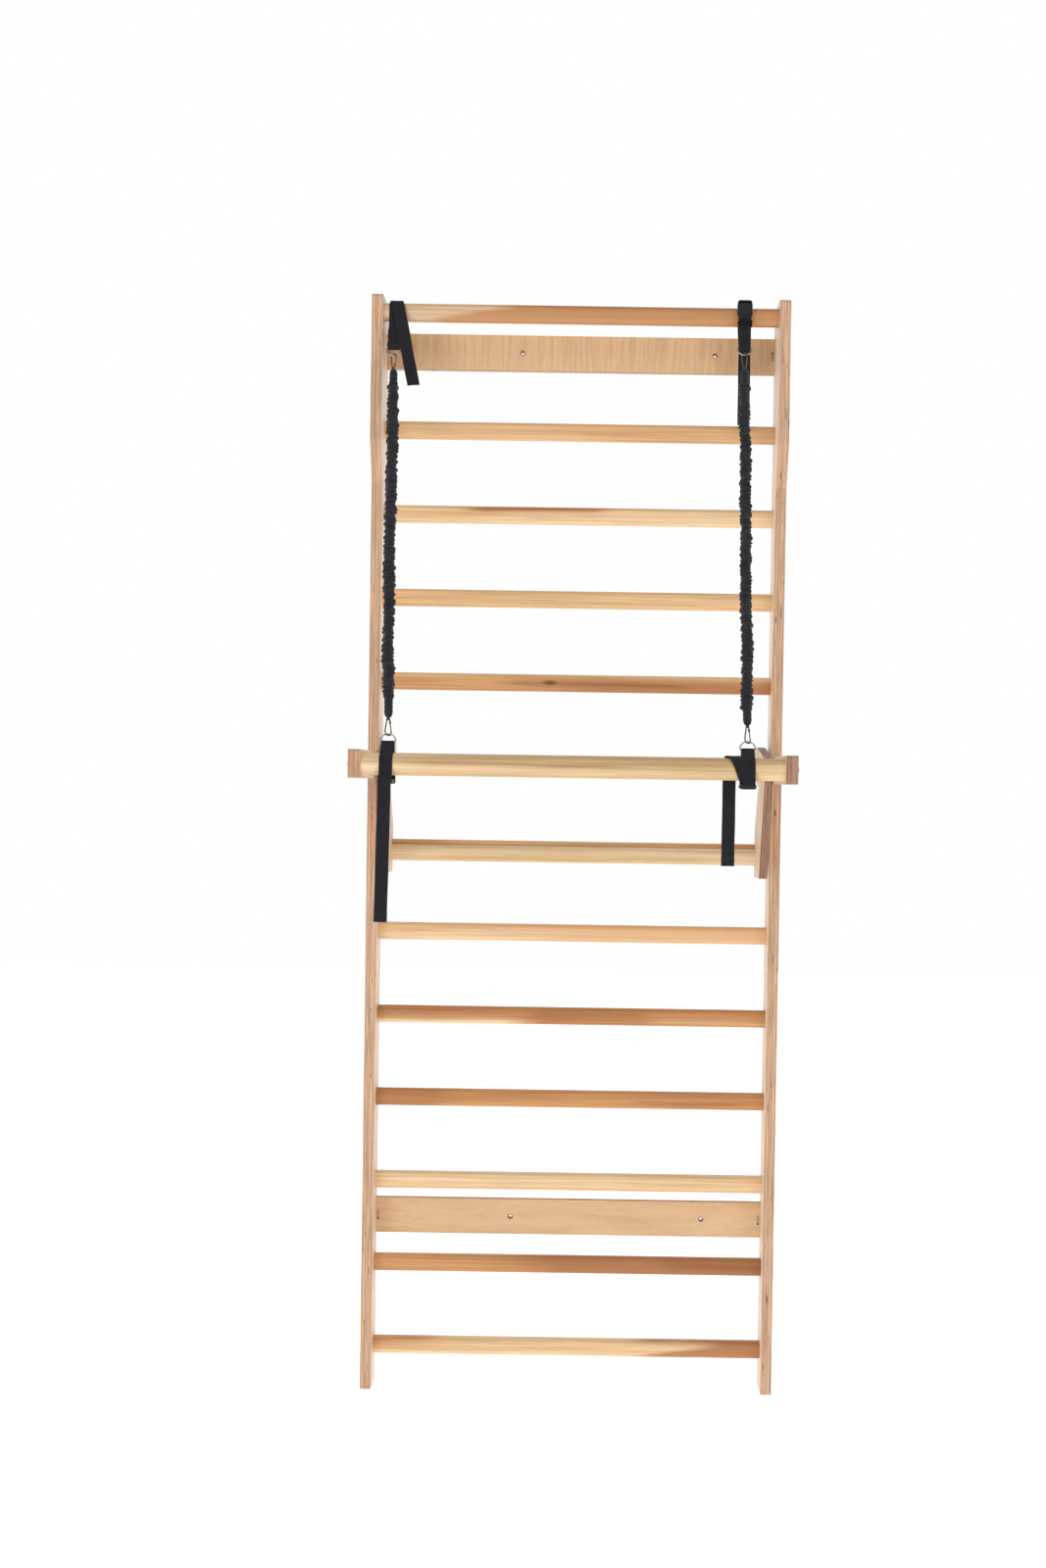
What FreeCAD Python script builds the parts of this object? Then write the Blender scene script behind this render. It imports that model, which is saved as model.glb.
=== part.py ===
"""Wooden wall bars with a hook-on bar and two elastic sleeves.

The ladder stands on the floor against a wall: X runs along the wall, Y into the wall, Z up.
The origin is on the floor, at the foot of the wall, midway between the two rails.
Lengths are in millimetres.
"""
import FreeCAD, Part
import math
import os
import Sketcher

Vector = FreeCAD.Vector
SIDES = {"left": -1, "right": 1}

# ---------------------------------------------------------------- driving dimensions
SIZES = {
    # ladder: two plywood rails that step forward near the top
    "ladder_height": 2406,
    "ladder_inside": 863,
    "rail_thick": 24,
    "rail_depth": 80,
    "rail_top_depth": 120,
    "slope_low": 2003,
    "slope_high": 2092,
    "rail_round": 10,
    # rungs: twelve at one pitch, and one more that stands forward at the top
    "rung_count": 12,
    "rung_tall": 38,
    "rung_deep": 30,
    "rung_round": 11,
    "rung_first": 88,
    "rung_pitch": 185.2,
    "rung_back": 22,
    "top_rung_z": 2370,
    "top_rung_back": 80,
    # wall boards and their screw holes
    "board_tall": 78,
    "board_thick": 18,
    "board_low_z": 373,
    "board_high_z": 2304.5,
    "screw_left_x": -130,
    "screw_right_x": 298,
    "screw_hole_r": 4,
    # bolts through the rails
    "bolt_r": 3,
    "bolt_head_r": 6.5,
    "bolt_head_rise": 2.5,
    "bolt_reach": 40,
    "board_bolt_reach": 12,
    "nut_slot_tall": 20,
    "nut_slot_wide": 5,
    "nut_slot_deep": 14,
    "nut_slot_inset": 5.5,
    "nut_wide": 4.4,
    "nut_deep": 9,
    "nut_tall": 16,
    # hook plates, arms and bars of the attachment
    "plate_inner": 401,
    "plate_thick": 18,
    "plate_foot": 1148,
    "hook_top": 1433,
    "hook_gap": 0.5,
    "hook_back": 5,
    "hook_tip": 1372,
    "hook_flat": 72,
    "nose_front": 300,
    "nose_root": 262,
    "nose_high": 1399,
    "nose_low": 1361,
    "foot_front": 167,
    "throat_front": 124,
    "throat_low": 1250,
    "throat_middle": 1345,
    "throat_high": 1362,
    "plate_round": 6,
    "arm_thick": 24,
    "arm_tall": 57,
    "arm_front": 511,
    "arm_rear": 190,
    "arm_round": 5,
    "front_bar_r": 22.5,
    "front_bar_y": 485,
    "front_bar_z": 1380.5,
    "lower_bar_r": 18,
    "lower_bar_y": 71.5,
    "lower_bar_z": 1190,
    "cap_r": 9,
    "cap_rise": 4.5,
    "arm_screw_r": 2.5,
    "arm_screw_reach": 15,
    # slings: webbing, ring and buckle
    "webbing_wide": 25,
    "webbing_thick": 1.8,
    "webbing_gap": 0.5,
    "ring_wire_r": 1.5,
    "ring_half": 15.2,
    "ring_corner": 2.5,
    "buckle_wide": 34,
    "buckle_thick": 11,
    "socket_long": 43,
    "plug_long": 17,
    "cavity_long": 32,
    "cavity_wide": 28.4,
    "cavity_tall": 6.8,
    "window_start": 10,
    "window_long": 17,
    "buckle_slot": 3.5,
    "buckle_slot_wide": 27,
    "buckle_round": 3,
    "prong_long": 26,
    "prong_wide": 4.4,
    "prong_tall": 5.2,
    "barb_wide": 2.6,
    "tongue_wide": 8,
    # snap hooks and their gates
    "snap_wire_r": 1.5,
    "snap_long": 40,
    "snap_wide_r": 7.5,
    "snap_narrow_r": 3.6,
    "snap_twist": 40,
    "snap_stub": 4,
    "snap_nose": 1.5,
    "gate_r": 1.25,
    "gate_eye_r": 1.7,
    "gate_pin_r": 0.6,
    # elastic sleeves
    "sleeve_r": 12.5,
    "sleeve_end_r": 6.5,
    "sleeve_taper": 16,
}

doc = FreeCAD.newDocument("wall_bars")
sheet = doc.addObject("Spreadsheet::Sheet", "size")
for row, (alias, number) in enumerate(SIZES.items(), start=1):
    sheet.set(f"A{row}", alias)
    sheet.set(f"B{row}", str(number))
    sheet.setAlias(f"B{row}", alias)
doc.recompute()

nodes = []


def value(expression):
    """The number that an expression on the sheet gives."""
    result = sheet.evalExpression(str(expression))
    return float(getattr(result, "Value", result))


def keep(thing, label):
    """Name a finished sub-part; its label becomes its file's name."""
    thing.Label = label
    nodes.append(thing)
    return thing


def new_body(label):
    return keep(doc.addObject("PartDesign::Body", label), label)


def bind(thing, **expressions):
    """Bind properties to the sheet; at_x, at_y and at_z stand for the placement."""
    for name, expression in expressions.items():
        target = f".Placement.Base.{name[-1]}" if name.startswith("at_") else name
        thing.setExpression(target, expression)


def origin_plane(body, role):
    return next(f for f in body.Origin.OriginFeatures if f.Role == role)


def outline(body, name, role, corners):
    """A closed outline of straight lines, each corner a pair of expressions on the sheet."""
    sketch = body.newObject("Sketcher::SketchObject", name)
    sketch.AttachmentSupport = [(origin_plane(body, role), "")]
    sketch.MapMode = "FlatFace"
    points = [Vector(value(across), value(up), 0) for across, up in corners]
    count = len(points)
    for index in range(count):
        sketch.addGeometry(Part.LineSegment(points[index], points[(index + 1) % count]))
    for index in range(count):
        sketch.addConstraint(Sketcher.Constraint("Coincident", index, 2, (index + 1) % count, 1))
    for index, corner in enumerate(corners):
        for kind, axis, expression in zip(("DistanceX", "DistanceY"), (-2, -1), corner):
            number = value(expression)
            if abs(number) < 1e-9:
                sketch.addConstraint(Sketcher.Constraint("PointOnObject", index, 1, axis))
                continue
            made = sketch.addConstraint(Sketcher.Constraint(kind, -1, 1, index, 1, number))
            sketch.setExpression(f"Constraints[{made}]", expression)
    return sketch


def pad(body, sketch, length, midplane=False):
    feature = body.newObject("PartDesign::Pad", "pad")
    feature.Profile = sketch
    feature.setExpression("Length", length)
    feature.Midplane = midplane
    sketch.Visibility = False
    doc.recompute()
    return feature


def round_edges(body, feature, radius, wanted):
    """Fillet the edges of a feature that wanted() picks by their midpoint and direction."""
    names = []
    for number, edge in enumerate(feature.Shape.Edges, start=1):
        along = edge.Vertexes[-1].Point - edge.Vertexes[0].Point
        if along.Length > 1e-6 and wanted(edge.CenterOfMass, along.normalize()):
            names.append(f"Edge{number}")
    fillet = body.newObject("PartDesign::Fillet", "fillet")
    fillet.Base = (feature, names)
    fillet.setExpression("Radius", radius)
    doc.recompute()
    return fillet


TURN = {
    "X": FreeCAD.Rotation(Vector(0, 0, 1), Vector(1, 0, 0)),
    "Y": FreeCAD.Rotation(Vector(0, 0, 1), Vector(0, 1, 0)),
}


def drill(body, radius, depth, at, way):
    """A round hole that starts at a point and runs along +X or +Y."""
    before = body.Shape.Volume
    hole = body.newObject("PartDesign::SubtractiveCylinder", "hole")
    bind(hole, Radius=radius, Height=depth)
    hole.Placement = FreeCAD.Placement(Vector(*[value(part) for part in at]), TURN[way])
    bind(hole, at_x=at[0], at_y=at[1], at_z=at[2])
    doc.recompute()
    assert body.Shape.Volume < before - 1, f"a hole in {body.Label} cuts nothing"
    return hole


def block(body, kind, long, wide, tall, at):
    """An additive or subtractive box between a low corner and that corner plus its sizes."""
    box = body.newObject(f"PartDesign::{kind}Box", kind.lower())
    bind(box, Length=long, Width=wide, Height=tall)
    bind(box, at_x=at[0], at_y=at[1], at_z=at[2])
    doc.recompute()
    return box


# ---------------------------------------------------------------- ladder
def rung_heights():
    return [f"size.rung_first + {index} * size.rung_pitch" for index in range(SIZES["rung_count"])]


def make_rail(side):
    """One rail: a plywood board on edge, deeper near the top, drilled for every rung bolt."""
    body = new_body(f"rail_{side}")
    corners = [
        ("0", "0"),
        ("-size.rail_depth", "0"),
        ("-size.rail_depth", "size.slope_low"),
        ("-size.rail_top_depth", "size.slope_high"),
        ("-size.rail_top_depth", "size.ladder_height"),
        ("0", "size.ladder_height"),
    ]
    solid = pad(body, outline(body, "side_outline", "YZ_Plane", corners), "size.rail_thick")
    top = value("size.ladder_height")
    solid = round_edges(
        body, solid, "size.rail_round", lambda mid, way: abs(way.x) > 0.9 and mid.z > top - 1
    )
    drill(
        body,
        "size.bolt_r",
        "size.rail_thick",
        ("0", "-size.rung_back - size.rung_deep / 2", "size.rung_first"),
        "X",
    )
    pattern = body.newObject("PartDesign::LinearPattern", "rung_bolt_holes")
    pattern.Originals = [body.Tip]
    pattern.Direction = (origin_plane(body, "Z_Axis"), [""])
    pattern.setExpression("Length", "(size.rung_count - 1) * size.rung_pitch")
    pattern.setExpression("Occurrences", "size.rung_count")
    body.Tip = pattern
    doc.recompute()
    depth = "-size.top_rung_back - size.rung_deep / 2"
    drill(body, "size.bolt_r", "size.rail_thick", ("0", depth, "size.top_rung_z"), "X")
    for height in ("size.board_low_z", "size.board_high_z"):
        drill(body, "size.bolt_r", "size.rail_thick", ("0", "-size.board_thick / 2", height), "X")
    inner = "size.ladder_inside / 2"
    bind(body, at_x=inner if SIDES[side] > 0 else f"-{inner} - size.rail_thick")


def make_rung(label, back, height):
    """One rung: a flattened round section of solid wood, drilled in both ends for its bolts."""
    body = new_body(label)
    half_deep = "size.rung_deep / 2"
    half_tall = "size.rung_tall / 2"
    corners = [
        (f"-{half_deep}", f"-{half_tall}"),
        (half_deep, f"-{half_tall}"),
        (half_deep, half_tall),
        (f"-{half_deep}", half_tall),
    ]
    sketch = outline(body, "section", "YZ_Plane", corners)
    solid = pad(body, sketch, "size.ladder_inside", midplane=True)
    round_edges(body, solid, "size.rung_round", lambda mid, way: abs(way.x) > 0.9)
    half = "size.ladder_inside / 2"
    drill(body, "size.bolt_r", "size.bolt_reach", (f"-{half}", "0", "0"), "X")
    drill(body, "size.bolt_r", "size.bolt_reach", (f"{half} - size.bolt_reach", "0", "0"), "X")
    bind(body, at_y=f"-{back} - {half_deep}", at_z=height)


def make_board(label, height):
    """One wall board: plywood across the back, with wall screw holes and a nut slot at each end."""
    body = new_body(label)
    half = "size.ladder_inside / 2"
    corners = [
        (f"-{half}", "-size.board_tall / 2"),
        (half, "-size.board_tall / 2"),
        (half, "size.board_tall / 2"),
        (f"-{half}", "size.board_tall / 2"),
    ]
    pad(body, outline(body, "face", "XZ_Plane", corners), "size.board_thick")
    for across in ("size.screw_left_x", "size.screw_right_x"):
        drill(
            body,
            "size.screw_hole_r",
            "size.board_thick",
            (across, "-size.board_thick", "0"),
            "Y",
        )
    for side, sign in SIDES.items():
        slot_x = f"{sign} * ({half} - size.nut_slot_inset) - size.nut_slot_wide / 2"
        block(
            body,
            "Subtractive",
            "size.nut_slot_wide",
            "size.nut_slot_deep",
            "size.nut_slot_tall",
            (slot_x, "-size.board_thick", "-size.nut_slot_tall / 2"),
        )
        start = f"-{half}" if sign < 0 else f"{half} - size.board_bolt_reach"
        drill(body, "size.bolt_r", "size.board_bolt_reach", (start, "-size.board_thick / 2", "0"), "X")
    bind(body, at_z=height)


# ---------------------------------------------------------------- fasteners
def domed_bolt(head_at, way, head_r, rise, shank_r, reach):
    """A bolt with a domed head whose flat seat is at a point; its shank runs along a direction."""
    ball_r = (head_r**2 + rise**2) / (2 * rise)
    half = math.asin(head_r / ball_r) / 2
    crown = Vector(0, 0, -rise)
    on_dome = Vector(ball_r * math.sin(half), 0, ball_r - rise - ball_r * math.cos(half))
    edges = [
        Part.Arc(crown, on_dome, Vector(head_r, 0, 0)).toShape(),
        Part.makeLine(Vector(head_r, 0, 0), Vector(shank_r, 0, 0)),
        Part.makeLine(Vector(shank_r, 0, 0), Vector(shank_r, 0, reach)),
        Part.makeLine(Vector(shank_r, 0, reach), Vector(0, 0, reach)),
        Part.makeLine(Vector(0, 0, reach), crown),
    ]
    bolt = Part.Face(Part.Wire(edges)).revolve(Vector(), Vector(0, 0, 1), 360)
    bolt.Placement = FreeCAD.Placement(head_at, FreeCAD.Rotation(Vector(0, 0, 1), way))
    return bolt


def keep_shape(label, shape, placement=None):
    """Keep a shape made with Part's own functions as a sub-part."""
    feature = doc.addObject("Part::Feature", label)
    feature.Shape = shape
    if placement:
        feature.Placement = placement
    return keep(feature, label)


def make_rung_bolts(side):
    """The bolts that hold every rung to one rail, as one group of separate solids."""
    sign = SIDES[side]
    seat_x = sign * (value("size.ladder_inside") / 2 + value("size.rail_thick"))
    reach = value("size.rail_thick + size.bolt_reach")
    middle = value("size.rung_back + size.rung_deep / 2")
    places = [(-middle, value(height)) for height in rung_heights()]
    places.append((-value("size.top_rung_back + size.rung_deep / 2"), value("size.top_rung_z")))
    bolts = [
        domed_bolt(
            Vector(seat_x, y, z),
            Vector(-sign, 0, 0),
            value("size.bolt_head_r"),
            value("size.bolt_head_rise"),
            value("size.bolt_r"),
            reach,
        )
        for y, z in places
    ]
    keep_shape(f"rung_bolts_{side}", Part.makeCompound(bolts))


def make_board_fasteners():
    """Bolts through the rails into the wall boards, and the flat nuts in the boards' slots."""
    bolts = []
    nuts = []
    board_y = -value("size.board_thick") / 2
    nut_wide = value("size.nut_wide")
    nut_deep = value("size.nut_deep")
    nut_tall = value("size.nut_tall")
    for height in (value("size.board_low_z"), value("size.board_high_z")):
        for sign in SIDES.values():
            inner = value("size.ladder_inside") / 2
            seat = Vector(sign * (inner + value("size.rail_thick")), board_y, height)
            bolts.append(
                domed_bolt(
                    seat,
                    Vector(-sign, 0, 0),
                    value("size.bolt_head_r"),
                    value("size.bolt_head_rise"),
                    value("size.bolt_r"),
                    value("size.rail_thick + size.board_bolt_reach"),
                )
            )
            low = Vector(
                sign * (inner - value("size.nut_slot_inset")) - nut_wide / 2,
                board_y - nut_deep / 2,
                height - nut_tall / 2,
            )
            nut = Part.makeBox(nut_wide, nut_deep, nut_tall, low)
            start = Vector(low.x - 1, board_y, height)
            bore = Part.makeCylinder(value("size.bolt_r"), nut_wide + 2, start, Vector(1, 0, 0))
            nuts.append(nut.cut(bore))
    keep_shape("board_bolts", Part.makeCompound(bolts))
    keep_shape("board_nuts", Part.makeCompound(nuts))


# ---------------------------------------------------------------- bar attachment
RUNG_8 = "size.rung_first + 7 * size.rung_pitch"
ARM_SCREWS = ("-size.arm_rear - 25", "-size.arm_rear - 80")


def make_plate(side):
    """One hook plate: it hangs over one rung, bears on the front of the next one down and carries an arm."""
    body = new_body(f"hook_plate_{side}")
    front_of_rung = "-size.rung_back - size.rung_deep - size.hook_gap"
    behind_rung = "-size.rung_back + size.hook_gap"
    over_rung = f"{RUNG_8} + size.rung_tall / 2 + size.hook_gap"
    softened = [
        ("-size.hook_back", "size.hook_top"),
        ("-size.hook_flat", "size.hook_top"),
        ("-size.nose_front", "size.nose_high"),
        ("-size.nose_front", "size.nose_low"),
        ("-size.nose_root", "size.nose_low"),
        ("-size.foot_front", "size.plate_foot"),
    ]
    sharp = [
        (front_of_rung, "size.plate_foot"),
        (front_of_rung, "size.throat_low"),
        ("-size.throat_front", "size.throat_middle"),
        (front_of_rung, "size.throat_high"),
        (front_of_rung, over_rung),
        (behind_rung, over_rung),
        (behind_rung, "size.hook_tip"),
        ("-size.hook_back", "size.hook_tip"),
    ]
    sketch = outline(body, "side_outline", "YZ_Plane", softened + sharp)
    solid = pad(body, sketch, "size.plate_thick")
    places = [(value(back), value(height)) for back, height in softened]
    round_edges(
        body,
        solid,
        "size.plate_round",
        lambda mid, way: abs(way.x) > 0.9
        and any(abs(mid.y - y) + abs(mid.z - z) < 1 for y, z in places),
    )
    lower = ("0", "-size.lower_bar_y", "size.lower_bar_z")
    drill(body, "size.bolt_r", "size.plate_thick", lower, "X")
    for back in ARM_SCREWS:
        start = "size.plate_thick - size.arm_screw_reach" if SIDES[side] > 0 else "0"
        drill(body, "size.arm_screw_r", "size.arm_screw_reach", (start, back, "size.front_bar_z"), "X")
    bind(body, at_x="size.plate_inner" if SIDES[side] > 0 else "-size.plate_inner - size.plate_thick")


def make_arm(side):
    """One arm: a plywood bar screwed to the plate's outer face, holding the front bar's end."""
    body = new_body(f"arm_{side}")
    half = "size.arm_tall / 2"
    corners = [
        ("-size.arm_front", f"size.front_bar_z - {half}"),
        ("-size.arm_rear", f"size.front_bar_z - {half}"),
        ("-size.arm_rear", f"size.front_bar_z + {half}"),
        ("-size.arm_front", f"size.front_bar_z + {half}"),
    ]
    solid = pad(body, outline(body, "side_outline", "YZ_Plane", corners), "size.arm_thick")
    round_edges(body, solid, "size.arm_round", lambda mid, way: abs(way.x) > 0.9)
    drill(body, "size.bolt_r", "size.arm_thick", ("0", "-size.front_bar_y", "size.front_bar_z"), "X")
    for back in ARM_SCREWS:
        drill(body, "size.arm_screw_r", "size.arm_thick", ("0", back, "size.front_bar_z"), "X")
    outer = "size.plate_inner + size.plate_thick"
    bind(body, at_x=outer if SIDES[side] > 0 else f"-{outer} - size.arm_thick".replace("+", "-"))


def make_bar(label, radius, length, at):
    """One round bar across the attachment, drilled in both ends for its bolts."""
    body = new_body(label)
    cylinder = body.newObject("PartDesign::AdditiveCylinder", "bar")
    bind(cylinder, Radius=radius, Height=length)
    cylinder.Placement = FreeCAD.Placement(Vector(), TURN["X"])
    bind(cylinder, at_x=f"-({length}) / 2")
    doc.recompute()
    drill(body, "size.bolt_r", "size.bolt_reach", (f"-({length}) / 2", "0", "0"), "X")
    far_start = f"({length}) / 2 - size.bolt_reach"
    drill(body, "size.bolt_r", "size.bolt_reach", (far_start, "0", "0"), "X")
    bind(body, at_y=at[0], at_z=at[1])


def make_bar_fasteners():
    """Domed bolts into the ends of both bars, and the screws that hold the arms to the plates."""
    plate_outer = value("size.plate_inner + size.plate_thick")
    arm_outer = plate_outer + value("size.arm_thick")
    front = []
    lower = []
    screws = []
    for sign in SIDES.values():
        inward = Vector(-sign, 0, 0)
        seat = Vector(sign * arm_outer, -value("size.front_bar_y"), value("size.front_bar_z"))
        reach = value("size.arm_thick + size.bolt_reach")
        cap = (value("size.cap_r"), value("size.cap_rise"))
        front.append(domed_bolt(seat, inward, *cap, value("size.bolt_r"), reach))
        seat = Vector(sign * plate_outer, -value("size.lower_bar_y"), value("size.lower_bar_z"))
        reach = value("size.plate_thick + size.bolt_reach")
        head = (value("size.bolt_head_r"), value("size.bolt_head_rise"))
        lower.append(domed_bolt(seat, inward, *head, value("size.bolt_r"), reach))
        for back in ARM_SCREWS:
            seat = Vector(sign * arm_outer, value(back), value("size.front_bar_z"))
            reach = value("size.arm_thick + size.arm_screw_reach")
            screws.append(domed_bolt(seat, inward, *head, value("size.arm_screw_r"), reach))
    keep_shape("front_bar_bolts", Part.makeCompound(front))
    keep_shape("lower_bar_bolts", Part.makeCompound(lower))
    keep_shape("arm_screws", Part.makeCompound(screws))


# ---------------------------------------------------------------- slings
RUNG_CENTRE = Vector(0, -value("size.top_rung_back + size.rung_deep / 2"), value("size.top_rung_z"))
BAR_CENTRE = Vector(0, -value("size.front_bar_y"), value("size.front_bar_z"))
# how far each ring's straight wire hangs from the rung or bar, and its place along it
RING_PLACES = {
    "top_left": (-405, 93),
    "top_right": (355, 78),
    "bottom_left": (-369, 47),
    "bottom_right": (346, 42),
}


def ring_point(place):
    """The middle of a ring's straight wire, on the line from the top rung to the front bar."""
    along, distance = RING_PLACES[place]
    pull = (BAR_CENTRE - RUNG_CENTRE).normalize()
    start, way = (RUNG_CENTRE, pull) if place.startswith("top") else (BAR_CENTRE, pull * -1)
    return start + way * distance + Vector(along, 0, 0)


def chain_placement(place):
    """A frame at a ring: local Z runs up or down the taut chain, away from the ring's wire."""
    other = place.replace("top", "bottom") if place.startswith("top") else place.replace("bottom", "top")
    start = ring_point(place)
    way = (ring_point(other) - start).normalize()
    turn = FreeCAD.Rotation(Vector(1, 0, 0), Vector(0, 0, 0), way, "ZXY")
    return FreeCAD.Placement(start, turn)


def bent_wire(edges, radius, start, heading):
    """A round wire swept along a path of lines and arcs."""
    path = Part.Wire(edges)
    section = Part.Wire([Part.makeCircle(radius, start, heading)])
    return path.makePipeShell([section], True, True)


def make_ring(place):
    """One D-ring: a straight wire for the webbing, and a round bow for the snap hook."""
    half = value("size.ring_half")
    corner = value("size.ring_corner")
    diagonal = corner * (1 - math.sqrt(0.5))
    low_left = Vector(-half + corner, 0, 0)
    low_right = Vector(half - corner, 0, 0)
    left = Vector(-half, 0, corner)
    right = Vector(half, 0, corner)
    edges = [
        Part.makeLine(low_left, low_right),
        Part.Arc(low_right, Vector(half - diagonal, 0, diagonal), right).toShape(),
        Part.Arc(right, Vector(0, 0, corner + half), left).toShape(),
        Part.Arc(left, Vector(-half + diagonal, 0, diagonal), low_left).toShape(),
    ]
    ring = bent_wire(edges, value("size.ring_wire_r"), low_left, Vector(1, 0, 0))
    keep_shape(f"d_ring_{place}", ring, chain_placement(place))


def hull_outline(circles, spread):
    """A closed Y-Z outline: a belt round circles given as (y, z, radius), let out by spread."""
    steps = 24
    points = []
    for y, z, radius in circles:
        for step in range(steps):
            angle = 2 * math.pi * step / steps
            points.append((y + radius * math.cos(angle), z + radius * math.sin(angle)))
    points = sorted(set(points))
    chain = []
    for sweep in (points, points[::-1]):
        part = []
        for point in sweep:
            while len(part) > 1 and turn_of(part[-2], part[-1], point) <= 1e-9:
                part.pop()
            part.append(point)
        chain += part[:-1]
    wire = Part.makePolygon([Vector(0, y, z) for y, z in chain + chain[:1]])
    return Part.Face(wire).makeOffset2D(spread)


def turn_of(a, b, c):
    return (b[0] - a[0]) * (c[1] - a[1]) - (b[1] - a[1]) * (c[0] - a[0])


# each free tail: where it leaves the belt, and where it is cut
TAILS = {
    "top_left": (Vector(-403, -112, 2380), Vector(-360, -152, 2201)),
    "top_right": (Vector(359, -78.5, 2363), Vector(359, -74, 2140)),
    "bottom_left": (Vector(-370, -508.4, 1374), Vector(-375, -513, 1070)),
    "bottom_right": (Vector(311, -459.7, 1384), Vector(311, -457, 1187)),
}


def make_tail(place):
    """The webbing's free end: a flat strip from a point on the belt down to its cut end."""
    top, bottom = TAILS[place]
    way = bottom - top
    wide = value("size.webbing_wide")
    thick = value("size.webbing_thick")
    strip = Part.makeBox(wide, thick, way.Length, Vector(-wide / 2, -thick / 2, 0))
    turn = FreeCAD.Rotation(Vector(1, 0, 0), Vector(0, 0, 0), way.normalize(), "ZXY")
    strip.Placement = FreeCAD.Placement(top, turn)
    return strip


def make_extra_turn():
    """The bottom right sling's second turn round the front bar, beside its belt."""
    inner = value("size.front_bar_r + size.webbing_gap + size.webbing_thick") - 0.3
    outer = inner + value("size.webbing_thick")
    start = TAILS["bottom_right"][0].x - value("size.webbing_wide") / 2
    end = RING_PLACES["bottom_right"][0] - value("size.webbing_wide") / 2 + 1
    at = Vector(start, BAR_CENTRE.y, BAR_CENTRE.z)
    along = Vector(1, 0, 0)
    tube = Part.makeCylinder(outer, end - start, at, along)
    return tube.cut(Part.makeCylinder(inner, end - start, at, along))


def make_webbing(place):
    """One sling: a belt of webbing round the rung or bar and the ring, and its free tail."""
    ring_y, ring_z = ring_point(place).y, ring_point(place).z
    wire_r = value("size.ring_wire_r")
    if place.startswith("top"):
        inset = value("size.rung_round")
        deep = value("size.rung_deep") / 2 - inset
        tall = value("size.rung_tall") / 2 - inset
        circles = [
            (RUNG_CENTRE.y + a * deep, RUNG_CENTRE.z + b * tall, inset)
            for a in (-1, 1)
            for b in (-1, 1)
        ]
    else:
        circles = [(BAR_CENTRE.y, BAR_CENTRE.z, value("size.front_bar_r"))]
    circles.append((ring_y, ring_z, wire_r))
    gap = value("size.webbing_gap")
    thick = value("size.webbing_thick")
    wide = value("size.webbing_wide")
    belt = hull_outline(circles, gap + thick).cut(hull_outline(circles, gap))
    along = RING_PLACES[place][0]
    belt.translate(Vector(along - wide / 2, 0, 0))
    loop = belt.extrude(Vector(wide, 0, 0)).fuse(make_tail(place))
    if place == "bottom_right":
        loop = loop.fuse(make_extra_turn())
    keep_shape(f"webbing_{place}", loop)


# each buckle: the middle of its mouth, and the way its plug goes in, seen in the Y-Z plane
BUCKLES = {
    "top_left": (Vector(-405, -105.2, 2304), -32.2),
    "top_right": (Vector(355, -122.4, 2359), -8),
    "bottom_left": (Vector(-369, -488, 1346.3), -90),
    "bottom_right": (Vector(346, -473, 1346.3), 90),
}


def buckle_placement(place):
    """Local X runs across the webbing, local Z from the plug into the socket."""
    at, tilt = BUCKLES[place]
    return FreeCAD.Placement(at, FreeCAD.Rotation(Vector(1, 0, 0), tilt))


def make_socket(place):
    """The buckle's socket: a moulded shell with a cavity, two side windows and a webbing slot."""
    body = new_body(f"buckle_socket_{place}")
    wide = "size.buckle_wide"
    thick = "size.buckle_thick"
    solid = block(body, "Additive", wide, thick, "size.socket_long", (f"-{wide} / 2", f"-{thick} / 2", "0"))
    end = value("size.socket_long")
    round_edges(body, solid, "size.buckle_round", lambda mid, way: abs(way.y) > 0.9 and mid.z > end - 1)
    across = "size.cavity_wide"
    deep = "size.cavity_tall"
    low = (f"-{across} / 2", f"-{deep} / 2", "0")
    block(body, "Subtractive", across, deep, "size.cavity_long", low)
    low = (f"-{wide} / 2", f"-{deep} / 2", "size.window_start")
    block(body, "Subtractive", wide, deep, "size.window_long", low)
    across = "size.buckle_slot_wide"
    low = (f"-{across} / 2", f"-{thick} / 2", "size.socket_long - 2 * size.buckle_slot")
    block(body, "Subtractive", across, thick, "size.buckle_slot", low)
    body.Placement = buckle_placement(place)


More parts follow.
